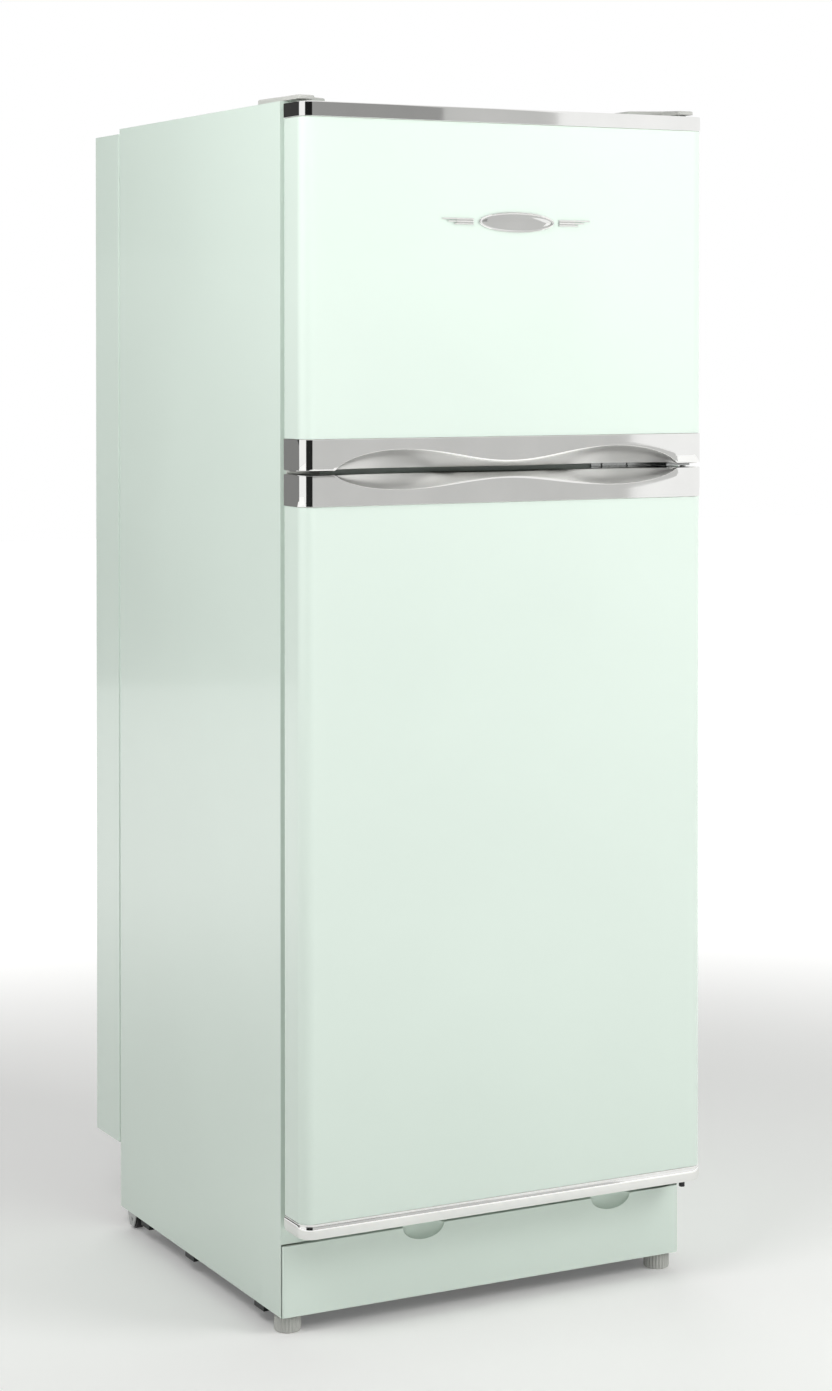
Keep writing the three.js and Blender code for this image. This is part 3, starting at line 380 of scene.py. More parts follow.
def moulded_plastic(name, base, grain_mm, roughness, darker=0.94):
    """Injection-moulded plastic with a spark-eroded grain: a soft gloss broken by fine pits."""
    made, tree, bsdf, place = start_material(name, IOR=1.46)
    grain = noise(tree, place, grain_mm, 4.0)
    shade(tree, bsdf, base, noise(tree, place, 90), darker)
    vary(tree, bsdf, grain, roughness - 0.06, roughness + 0.08)
    raise_by(tree, bsdf, grain, 0.05, 0.4)
    return made


def liner_plastic(colours):
    """Vacuum-formed high-impact polystyrene: white, with the faint sheen and unevenness of a sheet
    that was drawn over its mould."""
    return moulded_plastic("formed_polystyrene", colours.liner, 3.0, 0.32, 0.985)


def door_seal(colours):
    """Extruded soft PVC: dull, slightly waxy and a little darker in patches."""
    return moulded_plastic("soft_pvc_seal", colours.gasket, 1.5, 0.58, 0.9)


def galvanised_sheet(colours):
    """Hot-dip galvanised steel: pale grey with the angular flowers that zinc makes as it sets."""
    made, tree, bsdf, place = start_material("galvanised_steel", Metallic=0.85)
    flower = add_node(tree, "ShaderNodeTexVoronoi", {"Vector": place, "Scale": per_metre(14)})
    tone = add_node(tree, "ShaderNodeSeparateColor", {"Color": flower.outputs["Color"]})
    shade(tree, bsdf, colours.zinc, tone.outputs["Red"], 0.78, 0.1, 0.9)
    vary(tree, bsdf, tone.outputs["Green"], 0.34, 0.5)
    return made


def zinc_plate(colours):
    """Bright zinc plating on pressed brackets: cool grey with a fine drawn grain."""
    made, tree, bsdf, place = start_material("bright_zinc_plate", Metallic=1.0)
    grain = noise(tree, stretched(tree, place, (1.0, 12.0, 12.0)), 9, 5.0)
    shade(tree, bsdf, colours.zinc, grain, 0.88)
    vary(tree, bsdf, grain, 0.2, 0.34)
    return made


def sprayed_steel(name, base, roughness, metallic=0.0):
    """Stove-sprayed steel: thin black paint with a fine uneven skin that the light catches."""
    made, tree, bsdf, place = start_material(name, Metallic=metallic)
    skin, cloud = noise(tree, place, 3, 3.0), noise(tree, place, 70)
    shade(tree, bsdf, base, cloud, 0.8)
    vary(tree, bsdf, cloud, roughness - 0.06, roughness + 0.08)
    raise_by(tree, bsdf, skin, 0.06, 0.5)
    return made


def rolled_aluminium(colours):
    """Mill-finish aluminium sheet: matt silver with the long fine lines of the rolls."""
    made, tree, bsdf, place = start_material("rolled_aluminium", Metallic=1.0)
    lines = noise(tree, stretched(tree, place, (20.0, 20.0, 1.0)), 25, 5.0)
    shade(tree, bsdf, colours.zinc, lines, 0.86)
    vary(tree, bsdf, lines, 0.28, 0.42)
    return made


def drawn_brass(colours):
    """Drawn and machined brass: warm yellow metal, dulled unevenly by handling and heat."""
    made, tree, bsdf, place = start_material("drawn_brass", Metallic=1.0)
    dull = noise(tree, place, 18, 4.0)
    shade(tree, bsdf, colours.brass, dull, 0.72)
    vary(tree, bsdf, dull, 0.22, 0.42)
    return made


def toughened_glass():
    """Float glass, toughened: clear with a faint green body and a polished, slightly wavy face."""
    made, tree, bsdf, place = start_material("toughened_glass", Roughness=0.02, IOR=1.52, Alpha=0.34,
                                             Coat_Weight=0.3, Coat_Roughness=0.03)
    wave = noise(tree, place, 120)
    shade(tree, bsdf, linear("#D6EDE4"), wave, 0.93)
    raise_by(tree, bsdf, wave, 0.05, 0.2)
    return made


def clear_polystyrene():
    """Clear moulded polystyrene: see-through with a cool tint, brighter at its moulded edges."""
    made, tree, bsdf, place = start_material("clear_polystyrene", Roughness=0.08, IOR=1.55, Alpha=0.32)
    flow = noise(tree, place, 55)
    shade(tree, bsdf, linear("#F2F6F6"), flow, 0.94)
    raise_by(tree, bsdf, flow, 0.06, 0.3)
    return made


def coated_wire(colours):
    """Steel wire dipped in white polyethylene: a smooth, slightly lumpy satin coat."""
    return moulded_plastic("white_dipped_wire", colours.liner, 6.0, 0.36, 0.97)


def rigid_foam(colours):
    """Blown polyurethane foam: buff cells of about a millimetre, quite dull."""
    made, tree, bsdf, place = start_material("rigid_polyurethane_foam", Roughness=0.95)
    cells = add_node(tree, "ShaderNodeTexVoronoi", {"Vector": place, "Scale": per_metre(2.5)})
    shade(tree, bsdf, colours.foam, cells.outputs["Distance"], 0.75, 0.1, 0.7)
    raise_by(tree, bsdf, cells.outputs["Distance"], 0.4, 0.8)
    return made


FINISHES = {}


def finish(name):
    """The material of this finish, made the first time that it is asked for."""
    if name not in FINISHES:
        colours = bpy.context.scene.refrigerator_colours
        makers = {
            "enamel": (mint_enamel, colours),
            "plating": (bright_plating, colours),
            "liner": (liner_plastic, colours),
            "grey": (moulded_plastic, "grey_moulded_abs", colours.grey_plastic, 2.0, 0.42),
            "seal": (door_seal, colours),
            "galvanised": (galvanised_sheet, colours),
            "zinc": (zinc_plate, colours),
            "dark_steel": (sprayed_steel, "black_sprayed_steel", colours.dark_steel, 0.45, 0.2),
            "unit_paint": (sprayed_steel, "cooling_unit_black_lacquer", colours.unit_paint, 0.34),
            "aluminium": (rolled_aluminium, colours),
            "brass": (drawn_brass, colours),
            "black_plastic": (moulded_plastic, "black_moulded_nylon", colours.black_plastic, 1.5, 0.4),
            "glass": (toughened_glass,),
            "clear": (clear_polystyrene,),
            "wire": (coated_wire, colours),
            "foam": (rigid_foam, colours),
        }
        maker, *values = makers[name]
        FINISHES[name] = maker(*values)
    return FINISHES[name]


# ------------------------------------------------------------------ pieces
CABINET, FREEZER_DOOR, FRIDGE_DOOR = "cabinet", "freezer_door", "fridge_door"


class Builder:
    """What every operator of this add-on shares: its options and its way to the settings."""
    bl_options = {"REGISTER", "UNDO"}

    def execute(self, context):
        self.build(context.scene.refrigerator_sizes)
        return {"FINISHED"}


def door_plan(half, front, back, radius):
    """Plan of a door: straight sides from the back, then at each front corner the corner's centre
    plus the radius times the cosine and sine of an angle that runs over a quarter turn."""
    turn = np.linspace(0, math.pi / 2, 17)
    left = np.stack([-half + radius * (1 - np.cos(turn)), front + radius * (1 - np.sin(turn))], -1)
    right = left[::-1] * [-1, 1]
    return np.vstack([[[-half, back]], left, right, [[half, back]]])


class FRIDGE_OT_door_skins(Builder, bpy.types.Operator):
    """Painted door sheets, bent round the front and sides with a return along the back"""
    bl_idname = "fridge.door_skins"
    bl_label = "Door skins"

    def build(self, sizes):
        for body in (FREEZER_DOOR, FRIDGE_DOOR):
            node = f"{body}_skin"
            low, high = span(node)
            gasket_half = span(f"{body}_gasket")[1][0]
            sheet, half = sizes.skin, high[0]
            outer = door_plan(half, low[1], high[1], sizes.door_corner)
            inner = door_plan(half - sheet, low[1] + sheet, high[1] - sheet, sizes.door_corner - sheet)
            lip = np.array([[gasket_half, high[1]], [gasket_half, high[1] - sheet]])
            loop = np.vstack([outer, lip, inner[::-1], lip[::-1] * [-1, 1]])
            piece(f"{body}_painted_sheet", [loft(stacked([loop, loop], [low[2], high[2]]))], body,
                  "enamel", (node,))


def panel_bed(body):
    """Where a door's end pieces are cut away for the door's inner panel: the cut's half width, its
    depth along Y, and the heights of the panel's lower and upper edge, each with a gap."""
    low, high = span(f"{body}_liner")
    return high[0] + GAP, low[1] - GAP, low[2] - GAP, high[2] + GAP


def banded_cap(body, node, levels, corner):
    """A door's end cap: the door's plan drawn in by each level's inset, at each level's height. Its
    back is cut away as far up or down as the inner panel reaches, where one level is doubled."""
    low, high = span(node)
    bed_half, bed, bed_low, bed_high = panel_bed(body)
    above = low[2] > (bed_low + bed_high) / 2
    edge = bed_high if above else bed_low
    inset, height = np.array(levels).T
    at = np.searchsorted(height, edge)
    inset = np.insert(inset, at, [np.interp(edge, height, inset)] * 2)
    height = np.insert(height, at, [edge, edge])
    place = np.arange(height.size)
    cut = place <= at if above else place > at
    plans = []
    for d, deep in zip(inset, np.where(cut, bed, high[1] - SLIVER)):
        pocket = [[bed_half, high[1]], [bed_half, deep], [-bed_half, deep], [-bed_half, high[1]]]
        plans.append(np.vstack([door_plan(high[0] - d, low[1] + d, high[1], corner - d), pocket]))
    return loft(stacked(plans, height))


class FRIDGE_OT_door_trims(Builder, bpy.types.Operator):
    """Bright bands round the freezer door's top and the fridge door's bottom"""
    bl_idname = "fridge.door_trims"
    bl_label = "Door trims"

    def build(self, sizes):
        corner = sizes.door_corner + 2 * MM
        soft = 0.6 * MM
        low, high = span("freezer_door_top_trim")
        top = [(1.1 * MM, low[2]), (soft / 3, low[2] + soft / 2), (0, low[2] + soft), (0, high[2] - soft),
               (soft / 3, high[2] - soft / 3), (soft, high[2])]
        piece("freezer_door_top_band", [banded_cap(FREEZER_DOOR, "freezer_door_top_trim", top, corner)],
              FREEZER_DOOR, "plating", ("freezer_door_top_trim",))
        low, high = span("fridge_door_bottom_trim")
        step, tuck = 1.1 * MM, 5 * MM
        bottom = [(2.6 * MM, low[2]), (1.6 * MM, low[2] + soft), (0.2 * MM, low[2] + tuck),
                  (0, low[2] + tuck + soft), (0, high[2] - 3 * MM), (soft / 2, high[2] - 2.5 * MM),
                  (step, high[2] - 2.4 * MM), (step, high[2] - soft), (step + soft, high[2])]
        piece("fridge_door_bottom_band",
              [banded_cap(FRIDGE_DOOR, "fridge_door_bottom_trim", bottom, corner)], FRIDGE_DOOR,
              "plating", ("fridge_door_bottom_trim",))


def scoop_rise(x, crest, end, half, rise, waist):
    """Height of the scoop's front edge over the strip's inner edge. Outside the crest it is the rise
    times one minus the square of the way to the end, to the power 0.65. Inside it is a cosine wave
    from the rise at the crest to the waist at the middle."""
    reach = np.abs(x)
    outside = np.clip((reach - crest) / (half - end - crest), 0, 1)
    outer = rise * (1 - outside ** 2) ** 0.65
    inner = waist + (rise - waist) * (0.5 - 0.5 * np.cos(math.pi * reach / crest))
    return np.where(reach > crest, outer, inner)


def handle_strip(body, node, rise, sizes):
    """A bright handle strip as a row of upright sections. Each runs from the gap up the scoop's slope,
    which sags below its chord by a share of a sine, to the crest, and turns into the flat face on a
    quadratic curve: (1 - t)^2 start + 2 t (1 - t) crest + t^2 end, soft at the middle, crisp beside."""
    low, high = span(node)
    bed_half, bed, bed_low, bed_high = panel_bed(body)
    if body == FREEZER_DOOR:
        inner_edge, outer_edge, ledge = low[2], high[2], bed_low - low[2]
    else:
        inner_edge, outer_edge, ledge = high[2], low[2], high[2] - bed_high
    half, corner = high[0], sizes.door_corner + 2 * MM
    turn = np.linspace(0, math.pi / 2, 17)[1:]
    round_x = half - corner + corner * np.sin(turn)
    cut_x = np.array([bed_half, bed_half + SLIVER])
    flat_x = np.linspace(-(half - corner), half - corner, 221)
    x = np.sort(np.concatenate([-round_x, -cut_x, flat_x, cut_x, round_x]))
    overhang = np.clip(np.abs(x) - (half - corner), 0, corner)
    front = low[1] + corner - np.sqrt(corner ** 2 - overhang ** 2)
    side = 1.0 if outer_edge > inner_edge else -1.0
    waist, least, slot = 7.5 * MM, 0.7 * MM, 1.3 * MM
    soft_to, crisp_from, soft_bend, crisp_bend = 70 * MM, 150 * MM, 2.2 * MM, 0.3 * MM
    height = np.maximum(scoop_rise(x, sizes.scoop_crest, sizes.scoop_end, half, rise, waist), least)
    depth = np.maximum(sizes.scoop_depth * (height / rise) ** 0.8, least)
    lift = slot * np.clip((height - least) / (3 * MM), 0, 1)
    beside = np.clip((np.abs(x) - soft_to) / (crisp_from - soft_to), 0, 1)
    beside = beside * beside * (3 - 2 * beside)
    bend = np.minimum(soft_bend + (crisp_bend - soft_bend) * beside, 0.4 * height)
    reach = np.hypot(depth, height - lift)
    share = np.linspace(0, 1, 12) * (1 - bend / reach)[:, None]
    sag = 0.16 * beside[:, None] * np.sin(math.pi * share)
    slope_y = front[:, None] + depth[:, None] * (1 - share + sag)
    slope_z = lift[:, None] + (height - lift)[:, None] * (share + 0.4 * sag)
    t = np.linspace(0, 1, 6)[1:]
    round_y = (1 - t) ** 2 * slope_y[:, -1:] + (1 - (1 - t) ** 2) * front[:, None]
    round_z = ((1 - t) ** 2 * slope_z[:, -1:] + 2 * t * (1 - t) * height[:, None]
               + t ** 2 * (height + bend)[:, None])
    soft, top = 0.5 * MM, abs(outer_edge - inner_edge)
    face_z = round_z[:, -1:] + (top - soft - round_z[:, -1:]) * np.linspace(0, 1, 4)[1:]
    face_y = np.repeat(front[:, None], 3, axis=1)
    deep = np.where(np.abs(x) <= bed_half, bed, high[1] - SLIVER)
    back = np.full_like(x, high[1])
    rest_y = np.stack([front + soft, deep, deep, back, back], -1)
    rest_z = np.broadcast_to([top, top, ledge, ledge, 0], rest_y.shape)
    y = np.concatenate([slope_y, round_y, face_y, rest_y], axis=1)
    z = inner_edge + side * np.concatenate([slope_z, round_z, face_z, rest_z], axis=1)
    satin = np.zeros(y.shape)
    satin[:, :12] = np.clip((height - least) / (4 * MM), 0, 1)[:, None]
    return loft(np.stack([np.broadcast_to(x[:, None], y.shape), y, z], axis=-1)), satin.ravel()


class FRIDGE_OT_handle_strips(Builder, bpy.types.Operator):
    """Bright handle strips with the two-armed finger scoop between the doors"""
    bl_idname = "fridge.handle_strips"
    bl_label = "Handle strips"

    def build(self, sizes):
        for body, node, rise in ((FREEZER_DOOR, "freezer_door_handle", 26 * MM),
                                 (FRIDGE_DOOR, "fridge_door_handle", 20.5 * MM)):
            strip, satin = handle_strip(body, node, rise, sizes)
            made = piece(f"{body}_grip", [strip], body, "plating", (node,))
            made.data.attributes.new("satin", "FLOAT", "POINT").data.foreach_set("value", satin)


class FRIDGE_OT_badge(Builder, bpy.types.Operator):
    """Plain polished badge: an oval with a raised rim between two sets of speed lines"""
    bl_idname = "fridge.badge"
    bl_label = "Badge"

    def build(self, sizes):
        low, high = span("badge_plaque")
        centre, half = (low + high)[[0, 2]] / 2, (high - low)[[0, 2]] / 2
        turn = np.arange(96) * 2 * math.pi / 96
        circle = np.stack([np.cos(turn), np.sin(turn)], -1)
        # Each pair of the oval: its inset from the outline and its height above the door.
        levels = np.array([(0, 0), (0, 1.3), (0.4, 2.0), (1.2, 2.2), (2.0, 2.0), (2.4, 1.3), (3.2, 1.1),
                           (6.0, 1.35), (9.0, 1.6), (12.6, 1.7)]) * MM
        plans = centre + circle * (half - levels[:, :1])[:, None]
        oval = along_y(stacked(plans, high[1] - levels[:, 1]))
        piece("badge_oval", [loft(oval)], FREEZER_DOOR, "plating", ("badge_plaque",))
        margin = 1.2 * MM
        for side, node in ((-1, "badge_wing_left"), (1, "badge_wing_right")):
            low, high = span(node)
            near = high[0] if side < 0 else low[0]
            backing = block((near, high[1] - 0.6 * MM, low[2] + 1 * MM),
                            (near + side * 24 * MM, high[1], high[2] - 1 * MM))
            bars, heights = [], np.linspace(high[2] - margin, low[2] + margin, 3)
            for run, z in zip((46 * MM, 37 * MM, 28 * MM), heights):
                path = np.full((9, 3), [near, high[1] - 0.9 * MM, z])
                path[:, 0] = np.linspace(near, near + side * run, 9)
                bars.append(tube(path, 1.15 * MM, 12))
            piece(f"{node}_lines", [backing, *bars], FREEZER_DOOR, "plating", (node,))


class FRIDGE_OT_gaskets(Builder, bpy.types.Operator):
    """Folded seals round the backs of the doors"""
    bl_idname = "fridge.gaskets"
    bl_label = "Gaskets"

    def build(self, sizes):
        fold, width, corner = sizes.gasket_rib, 18 * MM, 8 * MM
        # Each pair of the section: how far in from the seal's outside, and the share of its depth.
        section = [(fold, 0.0), (0, 0.18), (fold, 0.36), (0, 0.55), (fold, 0.74), (fold * 0.4, 0.9),
                   (fold * 1.2, 1.0), (width / 2 - fold, 1.0), (width / 2, 0.93), (width / 2 + fold, 1.0),
                   (width - fold * 1.2, 1.0), (width - fold * 0.4, 0.9), (width - fold, 0.74),
                   (width, 0.55), (width - fold, 0.36), (width, 0.18), (width - fold, 0.0)]
        for body in (FREEZER_DOOR, FRIDGE_DOOR):
            low, high = span(f"{body}_gasket")
            flat_low, flat_high = low[[0, 2]], high[[0, 2]]
            plans = [rounded_outline(flat_low + d, flat_high - d, max(corner - d, 1 * MM))
                     for d, _ in section]
            depth = [low[1] + share * (high[1] - low[1]) for _, share in section]
            piece(f"{body}_seal", [loft(along_y(stacked(plans, depth)), closed=True)], body,
                  "seal", (f"{body}_gasket",))


def nested(levels):
    """Rings of round-cornered oblongs drawn upright, one at each depth: each level holds the low and
    high corners in X and Z, the corner radius and the depth along Y."""
    plans = [rounded_outline(low, high, radius, 8) for low, high, radius, _ in levels]
    return loft(along_y(stacked(plans, [depth for *_, depth in levels])))


class FRIDGE_OT_door_liners(Builder, bpy.types.Operator):
    """Formed inner door panels with a drafted, rounded dyke and lugs for the bins"""
    bl_idname = "fridge.door_liners"
    bl_label = "Door liners"

    def build(self, sizes):
        corner, sheet, wall, clear, lug = sizes.liner_corner, 2 * MM, 12 * MM, 18 * MM, 10 * MM
        for body, cavity in ((FREEZER_DOOR, "freezer_liner"), (FRIDGE_DOOR, "fridge_liner")):
            low, high = span(f"{body}_liner")
            root, tip = low[1] + sheet, high[1]
            inner_half = span(f"{body}_bin_lower")[1][0] + GAP
            dyke = inner_half + wall
            z_low, z_high = compartment(cavity)[0][2] + clear, compartment(cavity)[1][2] - clear
            # Each row of the dyke: how far it is drawn in, its depth along Y and its corner radius.
            rows = [(-3 * MM, root, corner + 3 * MM), (-0.8 * MM, root + 0.8 * MM, corner),
                    (0, root + 3 * MM, corner), (0.8 * MM, tip - 5 * MM, corner),
                    (2 * MM, tip - 1.5 * MM, corner), (5 * MM, tip, corner), (8 * MM, tip, corner),
                    (wall - 1.8 * MM, tip - 1.5 * MM, corner), (wall - 0.5 * MM, tip - 5 * MM, corner),
                    (wall, root + 3 * MM, corner), (wall + 0.8 * MM, root + 0.8 * MM, corner),
                    (wall + 3 * MM, root, corner)]
            levels = [(low[[0, 2]], high[[0, 2]], 3 * MM, depth) for depth in (low[1], root)]
            levels += [((-dyke + inset, z_low + inset), (dyke - inset, z_high - inset), radius, depth)
                       for inset, depth, radius in rows]
            lugs = []
            for bin_node in [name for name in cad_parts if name.startswith(f"{body}_bin")]:
                top = span(bin_node)[0][2] - GAP
                for side in (-1, 1):
                    lugs.append(round_box(
                        *ordered((side * (inner_half + 2 * MM), root, top - lug),
                                 (side * (inner_half - lug / 2), root + 2 * lug, top)),
                        2 * MM, 1.5 * MM))
            piece(f"{body}_inner_panel", [nested(levels), *lugs], body, "liner",
                  (f"{body}_liner",))


def ordered(one, other):
    """The low and the high corner of the block that two opposite corners span."""
    return np.minimum(one, other), np.maximum(one, other)


def rounded_polygon(points, inset, radius, steps=4):
    """A polygon drawn in by an inset and rounded at its corners: each corner moves in along its two
    edges' normals, and is then a quadratic curve between two points a radius away along its edges."""
    points = np.asarray(points, float)
    if np.cross(points, np.roll(points, -1, 0)).sum() < 0:
        points = points[::-1]
    ahead = np.roll(points, -1, 0) - points
    ahead /= np.linalg.norm(ahead, axis=1, keepdims=True)
    inward = np.stack([-ahead[:, 1], ahead[:, 0]], -1)
    before = np.roll(inward, 1, 0)
    bend = 1 + (inward * before).sum(1, keepdims=True)
    corner = points + inset * (inward + before) / bend
    start, end = corner - radius * np.roll(ahead, 1, 0), corner + radius * ahead
    t = np.linspace(0, 1, steps + 1)[None, :, None]
    curve = (1 - t) ** 2 * start[:, None] + 2 * t * (1 - t) * corner[:, None] + t ** 2 * end[:, None]
    return curve.reshape(-1, 2)


def folded(path, sheet):
    """The closed plan of a folded sheet: the path, and the path moved to its left by the sheet's
    thickness. Each inner corner lies on the sum of its two edges' normals over one plus their dot."""
    path = np.asarray(path, float)
    ahead = np.diff(path, axis=0)
    ahead /= np.linalg.norm(ahead, axis=1, keepdims=True)
    left = np.stack([-ahead[:, 1], ahead[:, 0]], -1)
    before, after = np.vstack([left[:1], left]), np.vstack([left, left[-1:]])
    shift = (before + after) / (1 + (before * after).sum(1, keepdims=True))
    return np.vstack([path, (path + sheet * shift)[::-1]])


class FRIDGE_OT_cabinet(Builder, bpy.types.Operator):
    """Finishes of the cabinet's own sheets: wrapper, back, rails, base frame and wings"""
    bl_idname = "fridge.cabinet"
    bl_label = "Cabinet sheets"

    def build(self, sizes):
        edge = sizes.sheet_edge
        for node in ("cabinet_wrapper", "mullion_rail", "bottom_front_rail"):
            finish_node(node, "enamel", edge)
        for side, node in ((-1, "rear_wing_left"), (1, "rear_wing_right")):
            low, high = span(node)
            outer, inner = max(abs(low[0]), abs(high[0])), min(abs(low[0]), abs(high[0]))
            groove, deep = 4.5 * MM, 3.5 * MM
            path = [(inner, low[1]), (outer - deep, low[1]), (outer - deep, low[1] + groove),
                    (outer, low[1] + groove + 0.6 * MM), (outer, high[1]), (inner, high[1])]
            plan = folded(np.array(path) * [side, 1], side * 1.2 * MM)
            piece(f"{node}_sheet", [loft(stacked([plan, plan], [low[2], high[2]]))], CABINET,
                  "enamel", (node,), edge=edge)
        for node in ("rear_panel", "burner_box"):
            finish_node(node, "galvanised", edge)
        finish_node("base_frame", "dark_steel", edge)
        for body in ("foam_insulation", f"{FREEZER_DOOR}_foam", f"{FRIDGE_DOOR}_foam"):
            finish_node(body, "foam")


def compartment(liner):
    """The lowest and highest corner of the space inside a liner, within the liner's lip."""
    low, high = span(liner)
    if liner == "freezer_liner":
        sill, head = 9.7 * MM, 29.7 * MM
    else:
        sill, head = 21.7 * MM, 9.7 * MM
    side, wall = 19.7 * MM, 2 * MM
    return low + [side, 0, sill], high - [side, wall, head]


class FRIDGE_OT_liners(Builder, bpy.types.Operator):
    """Formed linings of both compartments, with rounded corners, a rolled lip and shelf ledges"""
    bl_idname = "fridge.liners"
    bl_label = "Linings"

    def build(self, sizes):
        corner, lip_sheet, wall, fold, ledge = sizes.liner_corner, 2 * MM, 2 * MM, 4 * MM, 8 * MM
        for liner, shelves in (("freezer_liner", ("freezer_shelf",)),
                               ("fridge_liner", ("fridge_shelf_upper", "fridge_shelf_lower",
                                                 "crisper_cover"))):
            outer_low, outer_high = span(liner)
            low, high = compartment(liner)
            back = high[1]

            def ring(grow, radius, depth):
                return low[[0, 2]] - grow, high[[0, 2]] + grow, radius, depth

            lip = (outer_low[[0, 2]], outer_high[[0, 2]], 2 * MM)
            inner_back = [ring(-corner * (1 - math.cos(a)), corner * max(math.cos(a), 0.05),
                               back - corner * (1 - math.sin(a))) for a in QUARTER]
            mouth = [ring(fold * (1 - math.sin(a)), corner, outer_low[1] + fold * (1 - math.cos(a)))
                     for a in QUARTER]
            levels = [ring(wall, corner, back + wall), ring(wall, corner, outer_low[1] + lip_sheet),
                      (*lip, outer_low[1] + lip_sheet), (*lip, outer_low[1]), *mouth, *inner_back]
            ledges = []
            for shelf in shelves:
                shelf_low, shelf_high = span(shelf)
                top = shelf_low[2] - GAP
                for side in (-1, 1):
                    ledges.append(round_box(
                        *ordered((side * (high[0] + 0.5 * MM), shelf_low[1], top - ledge),
                                 (side * (high[0] - ledge), shelf_high[1], top)), 3 * MM, 2 * MM))
            piece(f"{liner}_formed", [nested(levels), *ledges], CABINET, "liner", (liner,))


class FRIDGE_OT_shelves(Builder, bpy.types.Operator):
    """Glass shelves in moulded trims, and the freezer's wire shelf"""
    bl_idname = "fridge.shelves"
    bl_label = "Shelves"

    def build(self, sizes):
        trim_depth, lap = 16 * MM, 6 * MM
        for node in ("fridge_shelf_upper", "fridge_shelf_lower", "crisper_cover"):
            low, high = span(node)
            glass_low, glass_high = low + [1 * MM, lap, 0], high - [1 * MM, lap, 0]
            thick = high[2] - low[2]
            glass_low[2], glass_high[2] = low[2] + thick * 0.3, high[2] - thick * 0.3
            piece(f"{node}_glass", [round_box(glass_low, glass_high, 4 * MM, thick * 0.08)], CABINET,
                  "glass", (node,))
            soft = min(sizes.soft_edge, thick * 0.3)
            ends = []
            for front, back in ((low[1], low[1] + trim_depth), (high[1] - trim_depth, high[1])):
                corners = np.array([[front, low[2]], [back, low[2]], [back, high[2]], [front, high[2]]])
                section = [rounded_polygon(corners, d, soft, 4) for d in (soft, 0, 0, soft)]
                places = [low[0], low[0] + soft, high[0] - soft, high[0]]
                ends.append(loft(along_x(stacked(section, places))))
            piece(f"{node}_trims", ends, CABINET, "liner", (node,))
        low, high = span("freezer_shelf")
        radius = 2.1 * MM
        level, lower = high[2] - radius, low[2] + radius
        across = np.linspace(low[0] + radius, high[0] - radius, 29)
        wires = []
        for x in across:
            path = [(x, low[1] + radius, lower), (x, low[1] + radius, level - 2 * MM),
                    (x, low[1] + 3 * MM + radius, level), (x, high[1] - 3 * MM - radius, level),
                    (x, high[1] - radius, level)]
            wires.append(tube(smooth_path(path, 3), radius * 0.7, 8))
        for y in np.linspace(low[1] + radius, high[1] - radius, 4):
            wires.append(tube([(low[0] + radius, y, lower), (0, y, lower), (high[0] - radius, y, lower)],
                              radius, 12))
        piece("freezer_wire_shelf", wires, CABINET, "wire", ("freezer_shelf",))


class FRIDGE_OT_containers(Builder, bpy.types.Operator):
    """Door bins and the salad drawer, as thin moulded trays with rounded corners"""
    bl_idname = "fridge.containers"
    bl_label = "Bins and drawer"

    def build(self, sizes):
        wall = 2.5 * MM
        for node in [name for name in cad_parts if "_bin_" in name]:
            low, high = span(node)
            tray = cup(low, high, wall, sizes.bin_corner, 5 * MM)
            body = FREEZER_DOOR if node.startswith(FREEZER_DOOR) else FRIDGE_DOOR
            ribs = [round_box((low[0] + 14 * MM, high[1] - 0.6 * MM, z - 1.2 * MM),
                              (high[0] - 14 * MM, high[1], z + 1.2 * MM), 0.2 * MM, 0.3 * MM)
                    for z in (high[2] - 14 * MM, high[2] - 20 * MM)]
            tray[0][:, 1] = low[1] + (tray[0][:, 1] - low[1]) * (1 - 0.6 * MM / (high[1] - low[1]))
            piece(f"{node}_tray", [tray, *ribs], body, "clear", (node,))
        low, high = span("crisper_drawer")
        grip_half, grip_reach, grip_sheet, grip_drop = 80 * MM, 9 * MM, 4 * MM, 12 * MM
        front = low + np.array([0, grip_reach, 0])
        grip_top = high[2] - grip_drop
        grip = round_box((-grip_half, low[1], grip_top - grip_sheet),
                         (grip_half, front[1] + 0.5 * MM, grip_top), 0.4 * MM, 1.5 * MM)
        piece("crisper_drawer_tray", [cup(front, high, wall, sizes.bin_corner, 8 * MM), grip],
              "crisper_drawer", "clear", ("crisper_drawer",))


class FRIDGE_OT_evaporators(Builder, bpy.types.Operator):
    """Finned coolers on the compartments' back walls"""
    bl_idname = "fridge.evaporators"
    bl_label = "Coolers"

    def build(self, sizes):
        for node in ("fridge_evaporator", "freezer_evaporator"):
            finish_node(node, "aluminium", sizes.sheet_edge)


